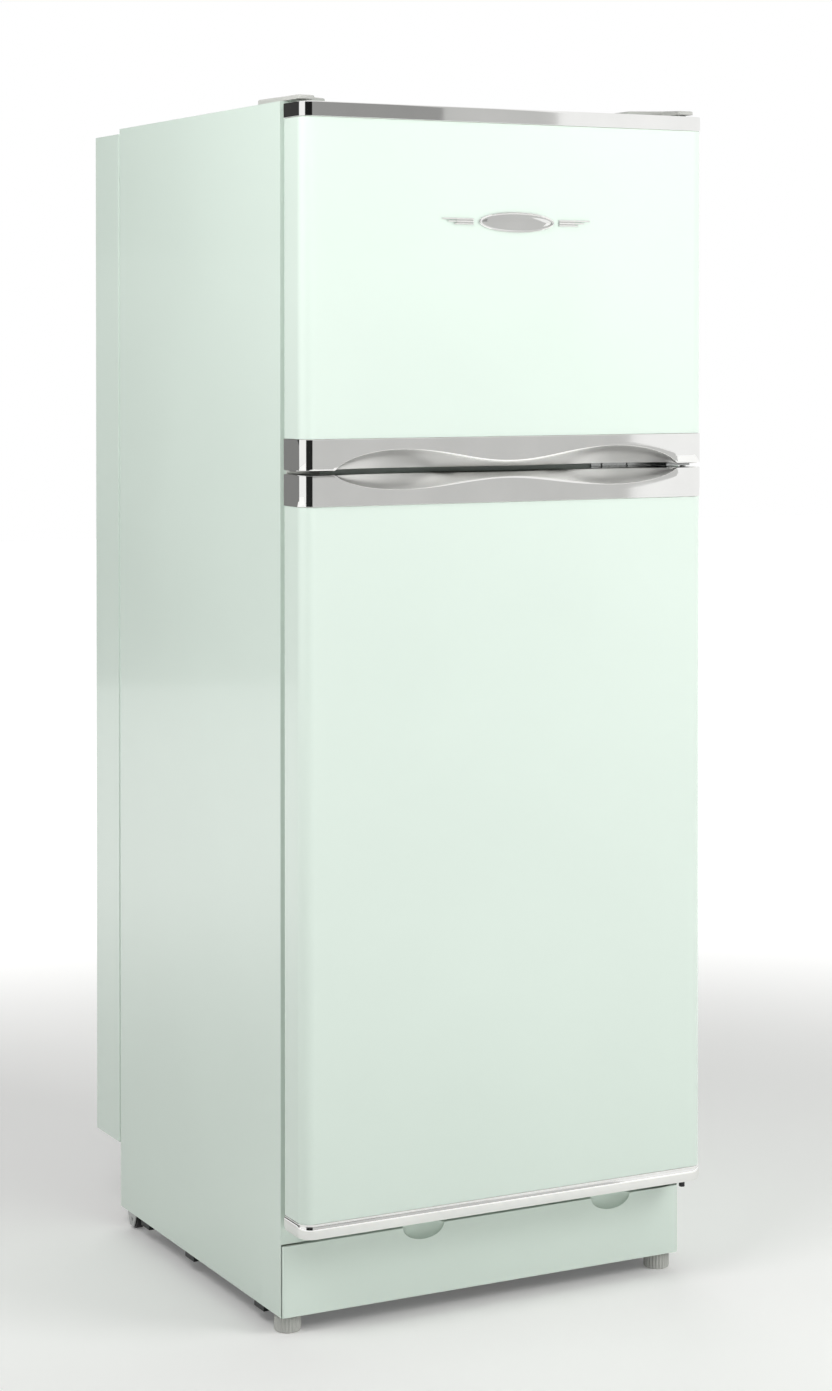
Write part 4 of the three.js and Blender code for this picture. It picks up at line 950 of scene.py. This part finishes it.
class FRIDGE_OT_kick_plate(Builder, bpy.types.Operator):
    """Folded kick plate with two scooped finger holds in its top edge"""
    bl_idname = "fridge.kick_plate"
    bl_label = "Kick plate"

    def build(self, sizes):
        low, high = span("kick_plate")
        half, front, bottom, top = high[0], low[1], low[2], high[2]
        sheet, bend, back = 1.5 * MM, 2.5 * MM, low[1] + 11 * MM
        bowl_half, bowl_drop, bowl_depth, least = 30.5 * MM, 18 * MM, 14 * MM, 0.3 * MM
        turn = np.linspace(0, math.pi / 2, 7)[1:]
        flat = half - bend
        x = [flat * np.linspace(-1, 1, 25), flat + bend * np.sin(turn), -flat - bend * np.sin(turn)]
        centres = np.array([-95, 191]) * MM        # the finger holds' middles along X
        spread = bowl_half * np.sin(np.linspace(-math.pi / 2, math.pi / 2, 41))
        x = np.unique(np.round(np.concatenate([*x, *(centres[:, None] + spread)]), 7))
        over = np.clip(np.abs(x) - flat, 0, bend)
        face = front + bend - np.sqrt(bend ** 2 - over ** 2)
        off = np.abs(x[:, None] - centres).min(1) / bowl_half
        share = np.sqrt(np.clip(1 - off ** 2, 0, 1))
        drop, depth = np.maximum(bowl_drop * share, least), np.maximum(bowl_depth * share, least)
        sweep = np.linspace(0, math.pi / 2, 13)
        bowl_y = face[:, None] + depth[:, None] * np.cos(sweep)
        bowl_z = top - drop[:, None] * np.sin(sweep)
        shell_y = face[:, None] + sheet + depth[:, None] * np.cos(sweep[::-1])
        shell_z = top - sheet - drop[:, None] * np.sin(sweep[::-1])
        rear = np.maximum(back, face + depth + sheet + 0.2 * MM)

        def column(*values):
            return np.stack([np.broadcast_to(value, x.shape) for value in values], -1)

        y = np.concatenate([column(rear), bowl_y, column(face, face + sheet), shell_y, column(rear)], 1)
        z = np.concatenate([column(top), bowl_z, column(bottom, bottom), shell_z, column(top - sheet)], 1)
        front_sheet = loft(np.stack([np.broadcast_to(x[:, None], y.shape), y, z], -1))
        sides = [block((side * half, front + bend, bottom), (side * (half - sheet), back, top))
                 for side in (-1, 1)]
        piece("kick_plate_cover", [front_sheet, *sides], "kick_plate", "enamel", ("kick_plate",))


class FRIDGE_OT_feet_and_rollers(Builder, bpy.types.Operator):
    """Ribbed levelling feet on threaded studs, and rollers in their tapered brackets"""
    bl_idname = "fridge.feet_and_rollers"
    bl_label = "Feet and rollers"

    def build(self, sizes):
        for side in ("left", "right"):
            foot = f"foot_{side}"
            low, high = span(foot)
            centre, radius = (low + high)[:2] / 2, (high - low)[0] / 2
            # Each row of the pad: its inset, its height and how deep the ribs' hollows are there.
            rows = np.array([(3.2, 0.0, 0), (0.9, 0.8, 0.2), (0.1, 2.4, 1), (0, 4, 1), (0, 18.6, 1),
                             (0.3, 20.4, 1), (1.6, 21.7, 0.5), (3.4, 22, 0)]) * [MM, MM, 1]
            turn = np.arange(sizes.foot_ribs * 10) * 2 * math.pi / (sizes.foot_ribs * 10)
            hollow = 1.1 * MM * (0.5 - 0.5 * np.cos(turn * sizes.foot_ribs)) ** 0.6
            reach = radius - rows[:, :1] - rows[:, 2:] * hollow
            pad = centre + reach[..., None] * np.stack([np.cos(turn), np.sin(turn)], -1)
            piece(f"{foot}_pad", [loft(stacked(pad, low[2] + rows[:, 1]))], foot, "grey",
                  (foot,))
            thread_z = np.linspace(low[2] + 21 * MM, high[2], 145)
            stud_radius, thread_depth, thread_pitch = 4 * MM, 0.45 * MM, 1.25 * MM
            wave = 0.5 + 0.5 * np.cos(thread_z / thread_pitch * 2 * math.pi)
            ridge = stud_radius - thread_depth * wave
            stud = turned(np.stack([ridge, thread_z], -1), centre, 20)
            hexagon = np.arange(6) * math.pi / 3
            corners = np.stack([np.cos(hexagon), np.sin(hexagon)], -1)
            plans = [centre + r * MM * corners for r in (7.2, 8, 8, 7.2)]
            nuts = [loft(stacked(plans, (np.array([0, 0.7, 5.3, 6]) + z) * MM)) for z in (31, 45)]
            piece(f"{foot}_stud", [loft(stud), *nuts], foot, "zinc", (foot,))

            roller = f"roller_{side}"
            low, high = span(roller)
            middle, reach = (low + high)[1:] / 2, (high - low)[2] / 2
            width = high[0] - low[0]
            bore = 3.3 * MM
            # Each pair of one face of the wheel: a radius, and its place as a share of the width.
            face = np.array([(bore, 0.08), (reach * 0.42, 0.08), (reach * 0.46, 0.2),
                             (reach * 0.74, 0.2), (reach * 0.78, 0.02), (reach - 1 * MM, 0.0),
                             (reach - 0.3 * MM, 0.06), (reach, 0.14)])
            wheel = np.vstack([face, face[::-1] * [1, -1] + [0, 1]]) * [1, width] + [0, low[0]]
            piece(f"{roller}_wheel", [loft(along_x(turned(wheel, middle, 48)), closed=True)], roller,
                  "black_plastic", (roller,))
            finish_node(f"roller_bracket_{side}", "zinc", sizes.sheet_edge)


class FRIDGE_OT_hinges(Builder, bpy.types.Operator):
    """Top hinge covers with rounded edges, and the plated and painted hinge brackets"""
    bl_idname = "fridge.hinges"
    bl_label = "Hinges"

    def build(self, sizes):
        edge, nose, fall = 2 * MM, 26 * MM, 2.2 * MM
        turn = np.linspace(0, math.pi / 2, 6)
        for side, node in ((-1, "top_hinge_cover_left"), (1, "top_hinge_cover_right")):
            low, high = span(node)
            outer = max(abs(low[0]), abs(high[0]))
            narrow, wide = outer - 23 * MM, min(abs(low[0]), abs(high[0]))
            elbow = low[1] + 61 * MM
            plan = np.array([[narrow, low[1]], [outer, low[1]], [outer, high[1]], [wide, high[1]],
                             [wide, elbow], [narrow, elbow - 22 * MM]]) * [side, 1]
            rise = high[2] - low[2]
            rows = [(0, low[2])]
            rows += [(edge * (1 - math.cos(a)), high[2] - edge * (1 - math.sin(a))) for a in turn]
            rings = stacked([rounded_polygon(plan, d, 3 * MM) for d, _ in rows], [z for _, z in rows])
            slope = np.clip(low[1] + nose - rings[..., 1], 0, None) / nose
            rings[..., 2] -= fall * slope * (rings[..., 2] - low[2]) / rise
            piece(f"{node}_cap", [loft(rings)], CABINET, "grey", (node,))
        for node in ("top_hinge_bracket", "middle_hinge_bracket"):
            finish_node(node, "zinc", sizes.sheet_edge)
        finish_node("middle_blank_left", "grey", sizes.sheet_edge)
        finish_node("bottom_hinge_bracket", "dark_steel", sizes.sheet_edge)


class FRIDGE_OT_cooling_unit(Builder, bpy.types.Operator):
    """Absorption cooling unit on the back: boiler and flue, receiver, absorber coil and condenser"""
    bl_idname = "fridge.cooling_unit"
    bl_label = "Cooling unit"

    def build(self, sizes):
        wall = span("rear_panel")[1][1] + GAP
        low, high = span("boiler_casing")
        radius, flue, casing = 42 * MM, 14 * MM, 680 * MM
        axis = high[1] - radius
        x = (low + high)[0] / 2
        body_top, hood = low[2] + casing, high[2] - 12 * MM
        fold, bite, brim = 3 * MM, 0.8 * MM, flue + 8 * MM
        profile = [(radius - fold, low[2]), (radius - bite, low[2] + bite), (radius, low[2] + fold),
                   (radius, body_top - fold), (radius - bite, body_top - bite),
                   (radius - fold, body_top), (flue + fold, body_top), (flue + bite, body_top + bite),
                   (flue, body_top + 4 * MM), (flue, hood - 1 * MM), (brim, hood),
                   (brim, hood + 1 * MM), (flue + fold, hood + 11 * MM), (flue, high[2])]
        arms = [self.arm(x, height, wall, axis)
                for height in (low[2] + casing / 6, body_top - casing / 6, hood - 40 * MM)]
        piece("boiler_and_flue", [loft(turned(profile, (x, axis), 48)), *arms], CABINET,
              "galvanised", ("boiler_casing",))

        low, high = span("receiver_tank")
        radius = (high - low)[2] / 2
        height, dome = (low + high)[2] / 2, radius / 3
        turn = np.linspace(0, math.pi / 2, 9)
        cap = np.stack([radius * (0.35 + 0.65 * np.sin(turn)), dome * (1 - np.cos(turn))], -1)
        profile = np.vstack([cap + [0, low[0]], cap[::-1] * [1, -1] + [0, high[0]]])
        tank = along_x(turned(profile, (axis, height), 40))
        arms = [self.arm(place, height, wall, axis, 16) for place in (low[0] + 60 * MM, high[0] - 60 * MM)]
        piece("receiver", [loft(tank), *arms], CABINET, "unit_paint", ("receiver_tank",))

        low, high = span("absorber_coil")
        pipe, pitch, turns, swing = 11 * MM, 62 * MM, 6, 24 * MM
        centre, reach = (low + high)[0] / 2, (high - low)[0] / 2 - pipe
        middle, bottom = high[1] - pipe - swing, low[2] + pipe
        angle = np.linspace(0, turns * 2 * math.pi, turns * 40 + 1)
        across, deep = (np.sign(wave) * np.abs(wave) ** 0.55 for wave in (np.cos(angle), np.sin(angle)))
        path = np.stack([centre - reach * across, middle + swing * deep,
                         bottom + pitch * angle / (2 * math.pi)], -1)
        straps = [block((place - 6 * MM, wall, bottom - 10 * MM),
                        (place + 6 * MM, middle - swing + 3 * MM, bottom + turns * pitch + 6 * MM))
                  for place in (centre - reach + 90 * MM, centre + reach - 90 * MM)]
        piece("absorber", [tube(path, pipe * 0.999, 16), *straps], CABINET, "unit_paint",
              ("absorber_coil",))

        low, high = span("condenser")
        height, half_fin, half_deep, end, count = (low + high)[2] / 2, 39 * MM, 31 * MM, 20 * MM, 14
        axis = high[1] - half_deep
        along = np.linspace(low[0], high[0], 5)
        pipe_run = tube(np.stack([along, np.full(5, axis), np.full(5, height)], -1), pipe, 24)
        outline = rounded_outline((axis - half_deep, height - half_fin),
                                  (axis + half_deep, height + half_fin), 5 * MM, 4)
        fins = [loft(along_x(stacked([outline, outline], [place - 0.7 * MM, place + 0.7 * MM])))
                for place in np.linspace(low[0] + end, high[0] - end, count)]
        # The arms meet the pipe midway between the third and fourth fins from each end.
        step = (high[0] - low[0] - 2 * end) / (count - 1) * 2.5 + end
        arms = [self.arm(place, height, wall, axis) for place in (low[0] + step, high[0] - step)]
        piece("condenser_fins", [pipe_run, *fins, *arms], CABINET, "unit_paint", ("condenser",))

    @staticmethod
    def arm(x, height, wall, axis, half_height=12):
        """A flat arm from the back panel to the unit's axis."""
        return block((x - 7 * MM, wall, height - half_height * MM),
                     (x + 7 * MM, axis, height + half_height * MM))


class FRIDGE_OT_gas_and_controls(Builder, bpy.types.Operator):
    """Gas valve, pipes and inlet, and the knobs and igniter on the control panel"""
    bl_idname = "fridge.gas_and_controls"
    bl_label = "Gas and controls"

    def build(self, sizes):
        finish_node("control_panel", "dark_steel", sizes.sheet_edge)
        panel = span("control_panel")[0][1]
        back = span("rear_panel")[1][1]
        unit = span("boiler_casing")[1][1] - 42 * MM
        inlet_back = span("gas_line")[1][1]
        knob_low, knob_high = span("gas_knob")
        thermostat = (span("thermostat_knob")[0] + span("thermostat_knob")[1])[0] / 2
        gas_x = (knob_low + knob_high)[0] / 2
        level = knob_low[2] + 14 * MM
        valve_x = (gas_x + thermostat) / 2 + np.array([-43, 43]) * MM
        valve_y = panel + np.array([10.3, 38.3]) * MM
        pipe, inlet_x, inlet_z = 4 * MM, -210 * MM, level + 22 * MM
        # Gas comes in at the back and runs forward to the valve, and from there back to the burner.
        feed = [(inlet_x, inlet_back - 14 * MM, inlet_z), (inlet_x, back, level),
                (inlet_x, back - 90 * MM, level), (valve_x[0] + 16 * MM, valve_y[1] + 120 * MM, level),
                (valve_x[0] + 16 * MM, valve_y[1] - 4 * MM, level)]
        boiler_x = (span("boiler_casing")[0] + span("boiler_casing")[1])[0] / 2
        burner = [(valve_x[1] - 16 * MM, valve_y[1] - 4 * MM, level),
                  (valve_x[1] - 16 * MM, valve_y[1] + 120 * MM, level), (boiler_x, back - 80 * MM, level),
                  (boiler_x, unit - 4 * MM, level + 12 * MM), (boiler_x, unit, level + 70 * MM),
                  (boiler_x, unit, span("boiler_casing")[0][2] - 48 * MM)]
        body = block((valve_x[0], valve_y[0], level - 15 * MM), (valve_x[1], valve_y[1], level + 15 * MM))
        turn = np.arange(6) * math.pi / 3
        # Each pair of the two nuts: corner radius, and place along Y from the inlet's rear end.
        rows = [(10, -26), (11, -25), (11, -13), (9, -12), (9, -8), (10.5, -7), (10.5, -0.6), (9.6, 0)]
        corners = np.stack([np.cos(turn), np.sin(turn)], -1)
        hexagon = [np.array([inlet_x, inlet_z]) + r * MM * corners for r, _ in rows]
        union = along_y(stacked(hexagon, [inlet_back + y * MM for _, y in rows]))
        saddle_low = (inlet_x - 9 * MM, back + GAP, level + 31 * MM)
        saddle = [block(saddle_low, (inlet_x + 9 * MM, inlet_back - 12 * MM, level + 34 * MM)),
                  block(saddle_low, (inlet_x + 9 * MM, back + 2 * MM, level + 64 * MM))]
        pipes = [tube(smooth_path(path, 10), pipe, 14) for path in (feed, burner)]
        piece("gas_pipes_and_valve", [*pipes, body, loft(union), *saddle], CABINET, "brass",
              ("gas_line",))
        for knob in ("gas_knob", "thermostat_knob"):
            low, high = span(knob)
            x = (low + high)[0] / 2
            face, rear = low[1] + 2 * MM, panel - GAP
            turn = np.arange(144) * 2 * math.pi / 144
            flute = 1.1 * MM * (0.5 - 0.5 * np.cos(12 * turn)) ** 2
            # Each row of the grip: place before the panel, radius and the flutes' share of their depth.
            rows = np.array([(0, 14, 0), (2.2, 14, 0), (3, 13.4, 0.5), (4.4, 13, 1), (15.6, 12.5, 1),
                             (17.2, 12, 0.7), (17.8, 11.2, 0.2), (18, 10, 0)])
            reach = rows[:, 1:2] * MM - rows[:, 2:] * flute
            grip = np.array([x, level]) + reach[..., None] * np.stack([np.cos(turn), np.sin(turn)], -1)
            shell = along_y(stacked(grip, rear - rows[:, 0] * MM))
            pointer = round_box((x - 1.4 * MM, low[1], level),
                                (x + 1.4 * MM, face + 1 * MM, level + 11 * MM), 0.6 * MM, 0.5 * MM)
            shaft = along_y(turned([(3.5 * MM, rear), (3.5 * MM, high[1])], (x, level), 24))
            piece(f"{knob}_grip", [loft(shell), pointer, loft(shaft)], knob, "black_plastic",
                  (knob,))
        low, high = span("igniter_button")
        x = (low + high)[0] / 2
        # Each pair of the cap: radius and depth behind its face; the last one ends at the stem's end.
        rows = [(5.6, 0), (7.2, 0.5), (7.9, 1.6), (8, 3), (8, 15.4), (7.4, 16), (6, 16.1), (6, 100)]
        cap = turned([(r * MM, min(low[1] + y * MM, high[1])) for r, y in rows], (x, level), 40)
        piece("igniter_cap", [loft(along_y(cap))], "igniter_button", "black_plastic",
              ("igniter_button",))


# ------------------------------------------------------------------ stage
# Each lamp: its name, place, the point it looks at, its width and height, and its power in watts.
LAMPS = (("front_key", (1.5, -2.2, 1.9), (0.1, -0.3, 1.0), (1.2, 1.2), 32),
         ("high_left_key", (-1.4, -0.85, 2.2), (-0.3, -0.1, 1.4), (1.2, 1.2), 19.5),
         ("rear_fill", (1.2, 3.0, 2.4), (0, 0, 0.8), (2.4, 2.0), 30))

# Each card: its name, the two ends of its arc in degrees, its low and high edge, and its brightness.
CARDS = (("low_grey_card_left", (100, 157), (-3, 1.6), 0.24),
         ("high_dark_card_left", (100, 157), (1.6, 4.6), 0.05),
         ("low_black_card_front", (214, 258), (-3, 1.6), 0.02),
         ("high_black_card_front", (207, 258), (1.6, 4.6), 0.015),
         ("low_grey_card_front", (258, 301.5), (-3, 1.6), 0.61),
         ("high_dark_card_front", (258, 295), (1.6, 4.6), 0.34),
         ("high_grey_card_front", (295, 300), (1.6, 4.6), 0.6))


def area_light(name, place, target, size, watts):
    """A soft rectangular lamp that looks at a point."""
    lamp = bpy.data.lights.new(name, "AREA")
    lamp.shape = "RECTANGLE"
    lamp.size, lamp.size_y = size
    lamp.energy = watts
    made = bpy.data.objects.new(name, lamp)
    made.location = place
    made.rotation_euler = (Vector(target) - Vector(place)).to_track_quat("-Z", "Y").to_euler()
    made.visible_glossy = False
    bpy.context.collection.objects.link(made)


def surround(name, angles, heights, brightness):
    """An upright card that only bright metal and gloss reflect: an arc round the middle of the floor
    between two angles in degrees, counted from the right side's direction towards the back."""
    reach, count = 7.0, 25
    angle = np.radians(np.linspace(*angles, count))
    plan = reach * np.stack([np.cos(angle), np.sin(angle)], -1)
    points = np.concatenate([np.column_stack([plan, np.full(count, z)]) for z in heights])
    first = np.arange(count - 1)
    faces = np.stack([first, first + 1, first + count + 1, first + count], -1)
    mesh = bpy.data.meshes.new(name)
    mesh.from_pydata(points, [], faces.tolist())
    card = bpy.data.materials.new(f"{name}_board")
    card.use_nodes = True
    tree = card.node_tree
    glow = add_node(tree, "ShaderNodeEmission", {"Color": (1.0, 1.0, 0.99, 1.0), "Strength": brightness})
    tree.links.new(glow.outputs["Emission"], tree.nodes["Material Output"].inputs["Surface"])
    mesh.materials.append(card)
    made = bpy.data.objects.new(name, mesh)
    made.visible_camera = made.visible_diffuse = made.visible_shadow = False
    made.visible_transmission = made.visible_volume_scatter = False
    bpy.context.collection.objects.link(made)


class FRIDGE_OT_stage(bpy.types.Operator):
    """Pale floor, soft lamps, even surroundings and the camera"""
    bl_idname = "fridge.stage"
    bl_label = "Stage"
    bl_options = {"REGISTER", "UNDO"}

    def execute(self, context):
        self.floor(context.scene.refrigerator_colours)
        self.lights(context.scene)
        self.camera(context.scene)
        context.scene.view_settings.view_transform = "Standard"
        return {"FINISHED"}

    def floor(self, colours):
        """Matt paper that glows more and more away from the middle, to end as white as the world."""
        reach = 14.0
        mesh = bpy.data.meshes.new("studio_floor")
        mesh.from_pydata([(-reach, -reach, 0), (reach, -reach, 0), (reach, reach, 0), (-reach, reach, 0)],
                         [], [(0, 1, 2, 3)])
        paper, tree, bsdf, place = start_material("matt_backdrop_paper", Roughness=0.9)
        shade(tree, bsdf, colours.floor, noise(tree, place, 300), 0.99)
        bsdf.inputs["Emission Color"].default_value = linear("#FFFFFF")
        away = add_node(tree, "ShaderNodeVectorMath", {0: place}, operation="LENGTH")
        glow = add_node(tree, "ShaderNodeMapRange", {"Value": away.outputs["Value"], "From Min": 1.0,
                                                     "From Max": 3.2, "To Min": 0.12, "To Max": 0.8},
                        interpolation_type="SMOOTHSTEP")
        tree.links.new(glow.outputs["Result"], bsdf.inputs["Emission Strength"])
        mesh.materials.append(paper)
        made = bpy.data.objects.new("studio_floor", mesh)
        bpy.context.collection.objects.link(made)

    def lights(self, scene):
        """The world, full white where it is seen or mirrored and weaker as a light; lamps and cards."""
        world = bpy.data.worlds.new("studio_surroundings")
        scene.world = world
        world.use_nodes = True
        sky = world.node_tree.nodes["Background"]
        sky.inputs["Color"].default_value = linear("#FFFFFF")
        seen = add_node(world.node_tree, "ShaderNodeLightPath")
        direct = add_node(world.node_tree, "ShaderNodeMath", {0: seen.outputs["Is Camera Ray"],
                                                              1: seen.outputs["Is Glossy Ray"]},
                          operation="MAXIMUM")
        power = add_node(world.node_tree, "ShaderNodeMapRange", {"Value": direct.outputs["Value"],
                                                                 "To Min": 0.31, "To Max": 1.0})
        world.node_tree.links.new(power.outputs["Result"], sky.inputs["Strength"])
        for lamp in LAMPS:
            area_light(*lamp)
        for card in CARDS:
            surround(*card)

    def camera(self, scene):
        """A long lens from the left of the doors, its place counted from the handles' front. The shift
        frames the feet while the view stays nearly level, so that upright edges look upright."""
        lens = bpy.data.cameras.new("camera")
        lens.sensor_width = 36.0
        lens.lens = 75.25
        lens.shift_y = -0.2241
        lens.clip_end = 60.0
        made = bpy.data.objects.new("camera", lens)
        front = span("freezer_door_handle")[0][1]
        made.location = (-1.8581, front - 3.2962, 1.2718)
        made.rotation_euler = (math.radians(89.2), 0.0, math.radians(-27.528))
        bpy.context.collection.objects.link(made)
        scene.camera = made


# ------------------------------------------------------------------ panel and start
OPERATORS = (FRIDGE_OT_door_skins, FRIDGE_OT_door_trims, FRIDGE_OT_handle_strips, FRIDGE_OT_badge,
             FRIDGE_OT_gaskets, FRIDGE_OT_door_liners, FRIDGE_OT_cabinet, FRIDGE_OT_liners,
             FRIDGE_OT_shelves, FRIDGE_OT_containers, FRIDGE_OT_evaporators, FRIDGE_OT_kick_plate,
             FRIDGE_OT_feet_and_rollers, FRIDGE_OT_hinges, FRIDGE_OT_cooling_unit,
             FRIDGE_OT_gas_and_controls, FRIDGE_OT_stage)


class FRIDGE_PT_refrigerator(bpy.types.Panel):
    """Sidebar panel with the refrigerator's sizes, colours and pieces"""
    bl_idname = "FRIDGE_PT_refrigerator"
    bl_label = "Refrigerator"
    bl_space_type = "VIEW_3D"
    bl_region_type = "UI"
    bl_category = "Refrigerator"

    def draw(self, context):
        for settings in (context.scene.refrigerator_sizes, context.scene.refrigerator_colours):
            box = self.layout.box()
            for name in settings.__annotations__:
                box.prop(settings, name)
        for operator in OPERATORS:
            self.layout.operator(operator.bl_idname)


CLASSES = (RefrigeratorSizes, RefrigeratorColours, *OPERATORS, FRIDGE_PT_refrigerator)


def register():
    for kind in CLASSES:
        bpy.utils.register_class(kind)
    bpy.types.Scene.refrigerator_sizes = PointerProperty(type=RefrigeratorSizes)
    bpy.types.Scene.refrigerator_colours = PointerProperty(type=RefrigeratorColours)


def unregister():
    del bpy.types.Scene.refrigerator_colours
    del bpy.types.Scene.refrigerator_sizes
    for kind in reversed(CLASSES):
        bpy.utils.unregister_class(kind)


def main():
    register()
    for operator in OPERATORS:
        group, name = operator.bl_idname.split(".")
        getattr(getattr(bpy.ops, group), name)()


if __name__ == "__main__":
    main()
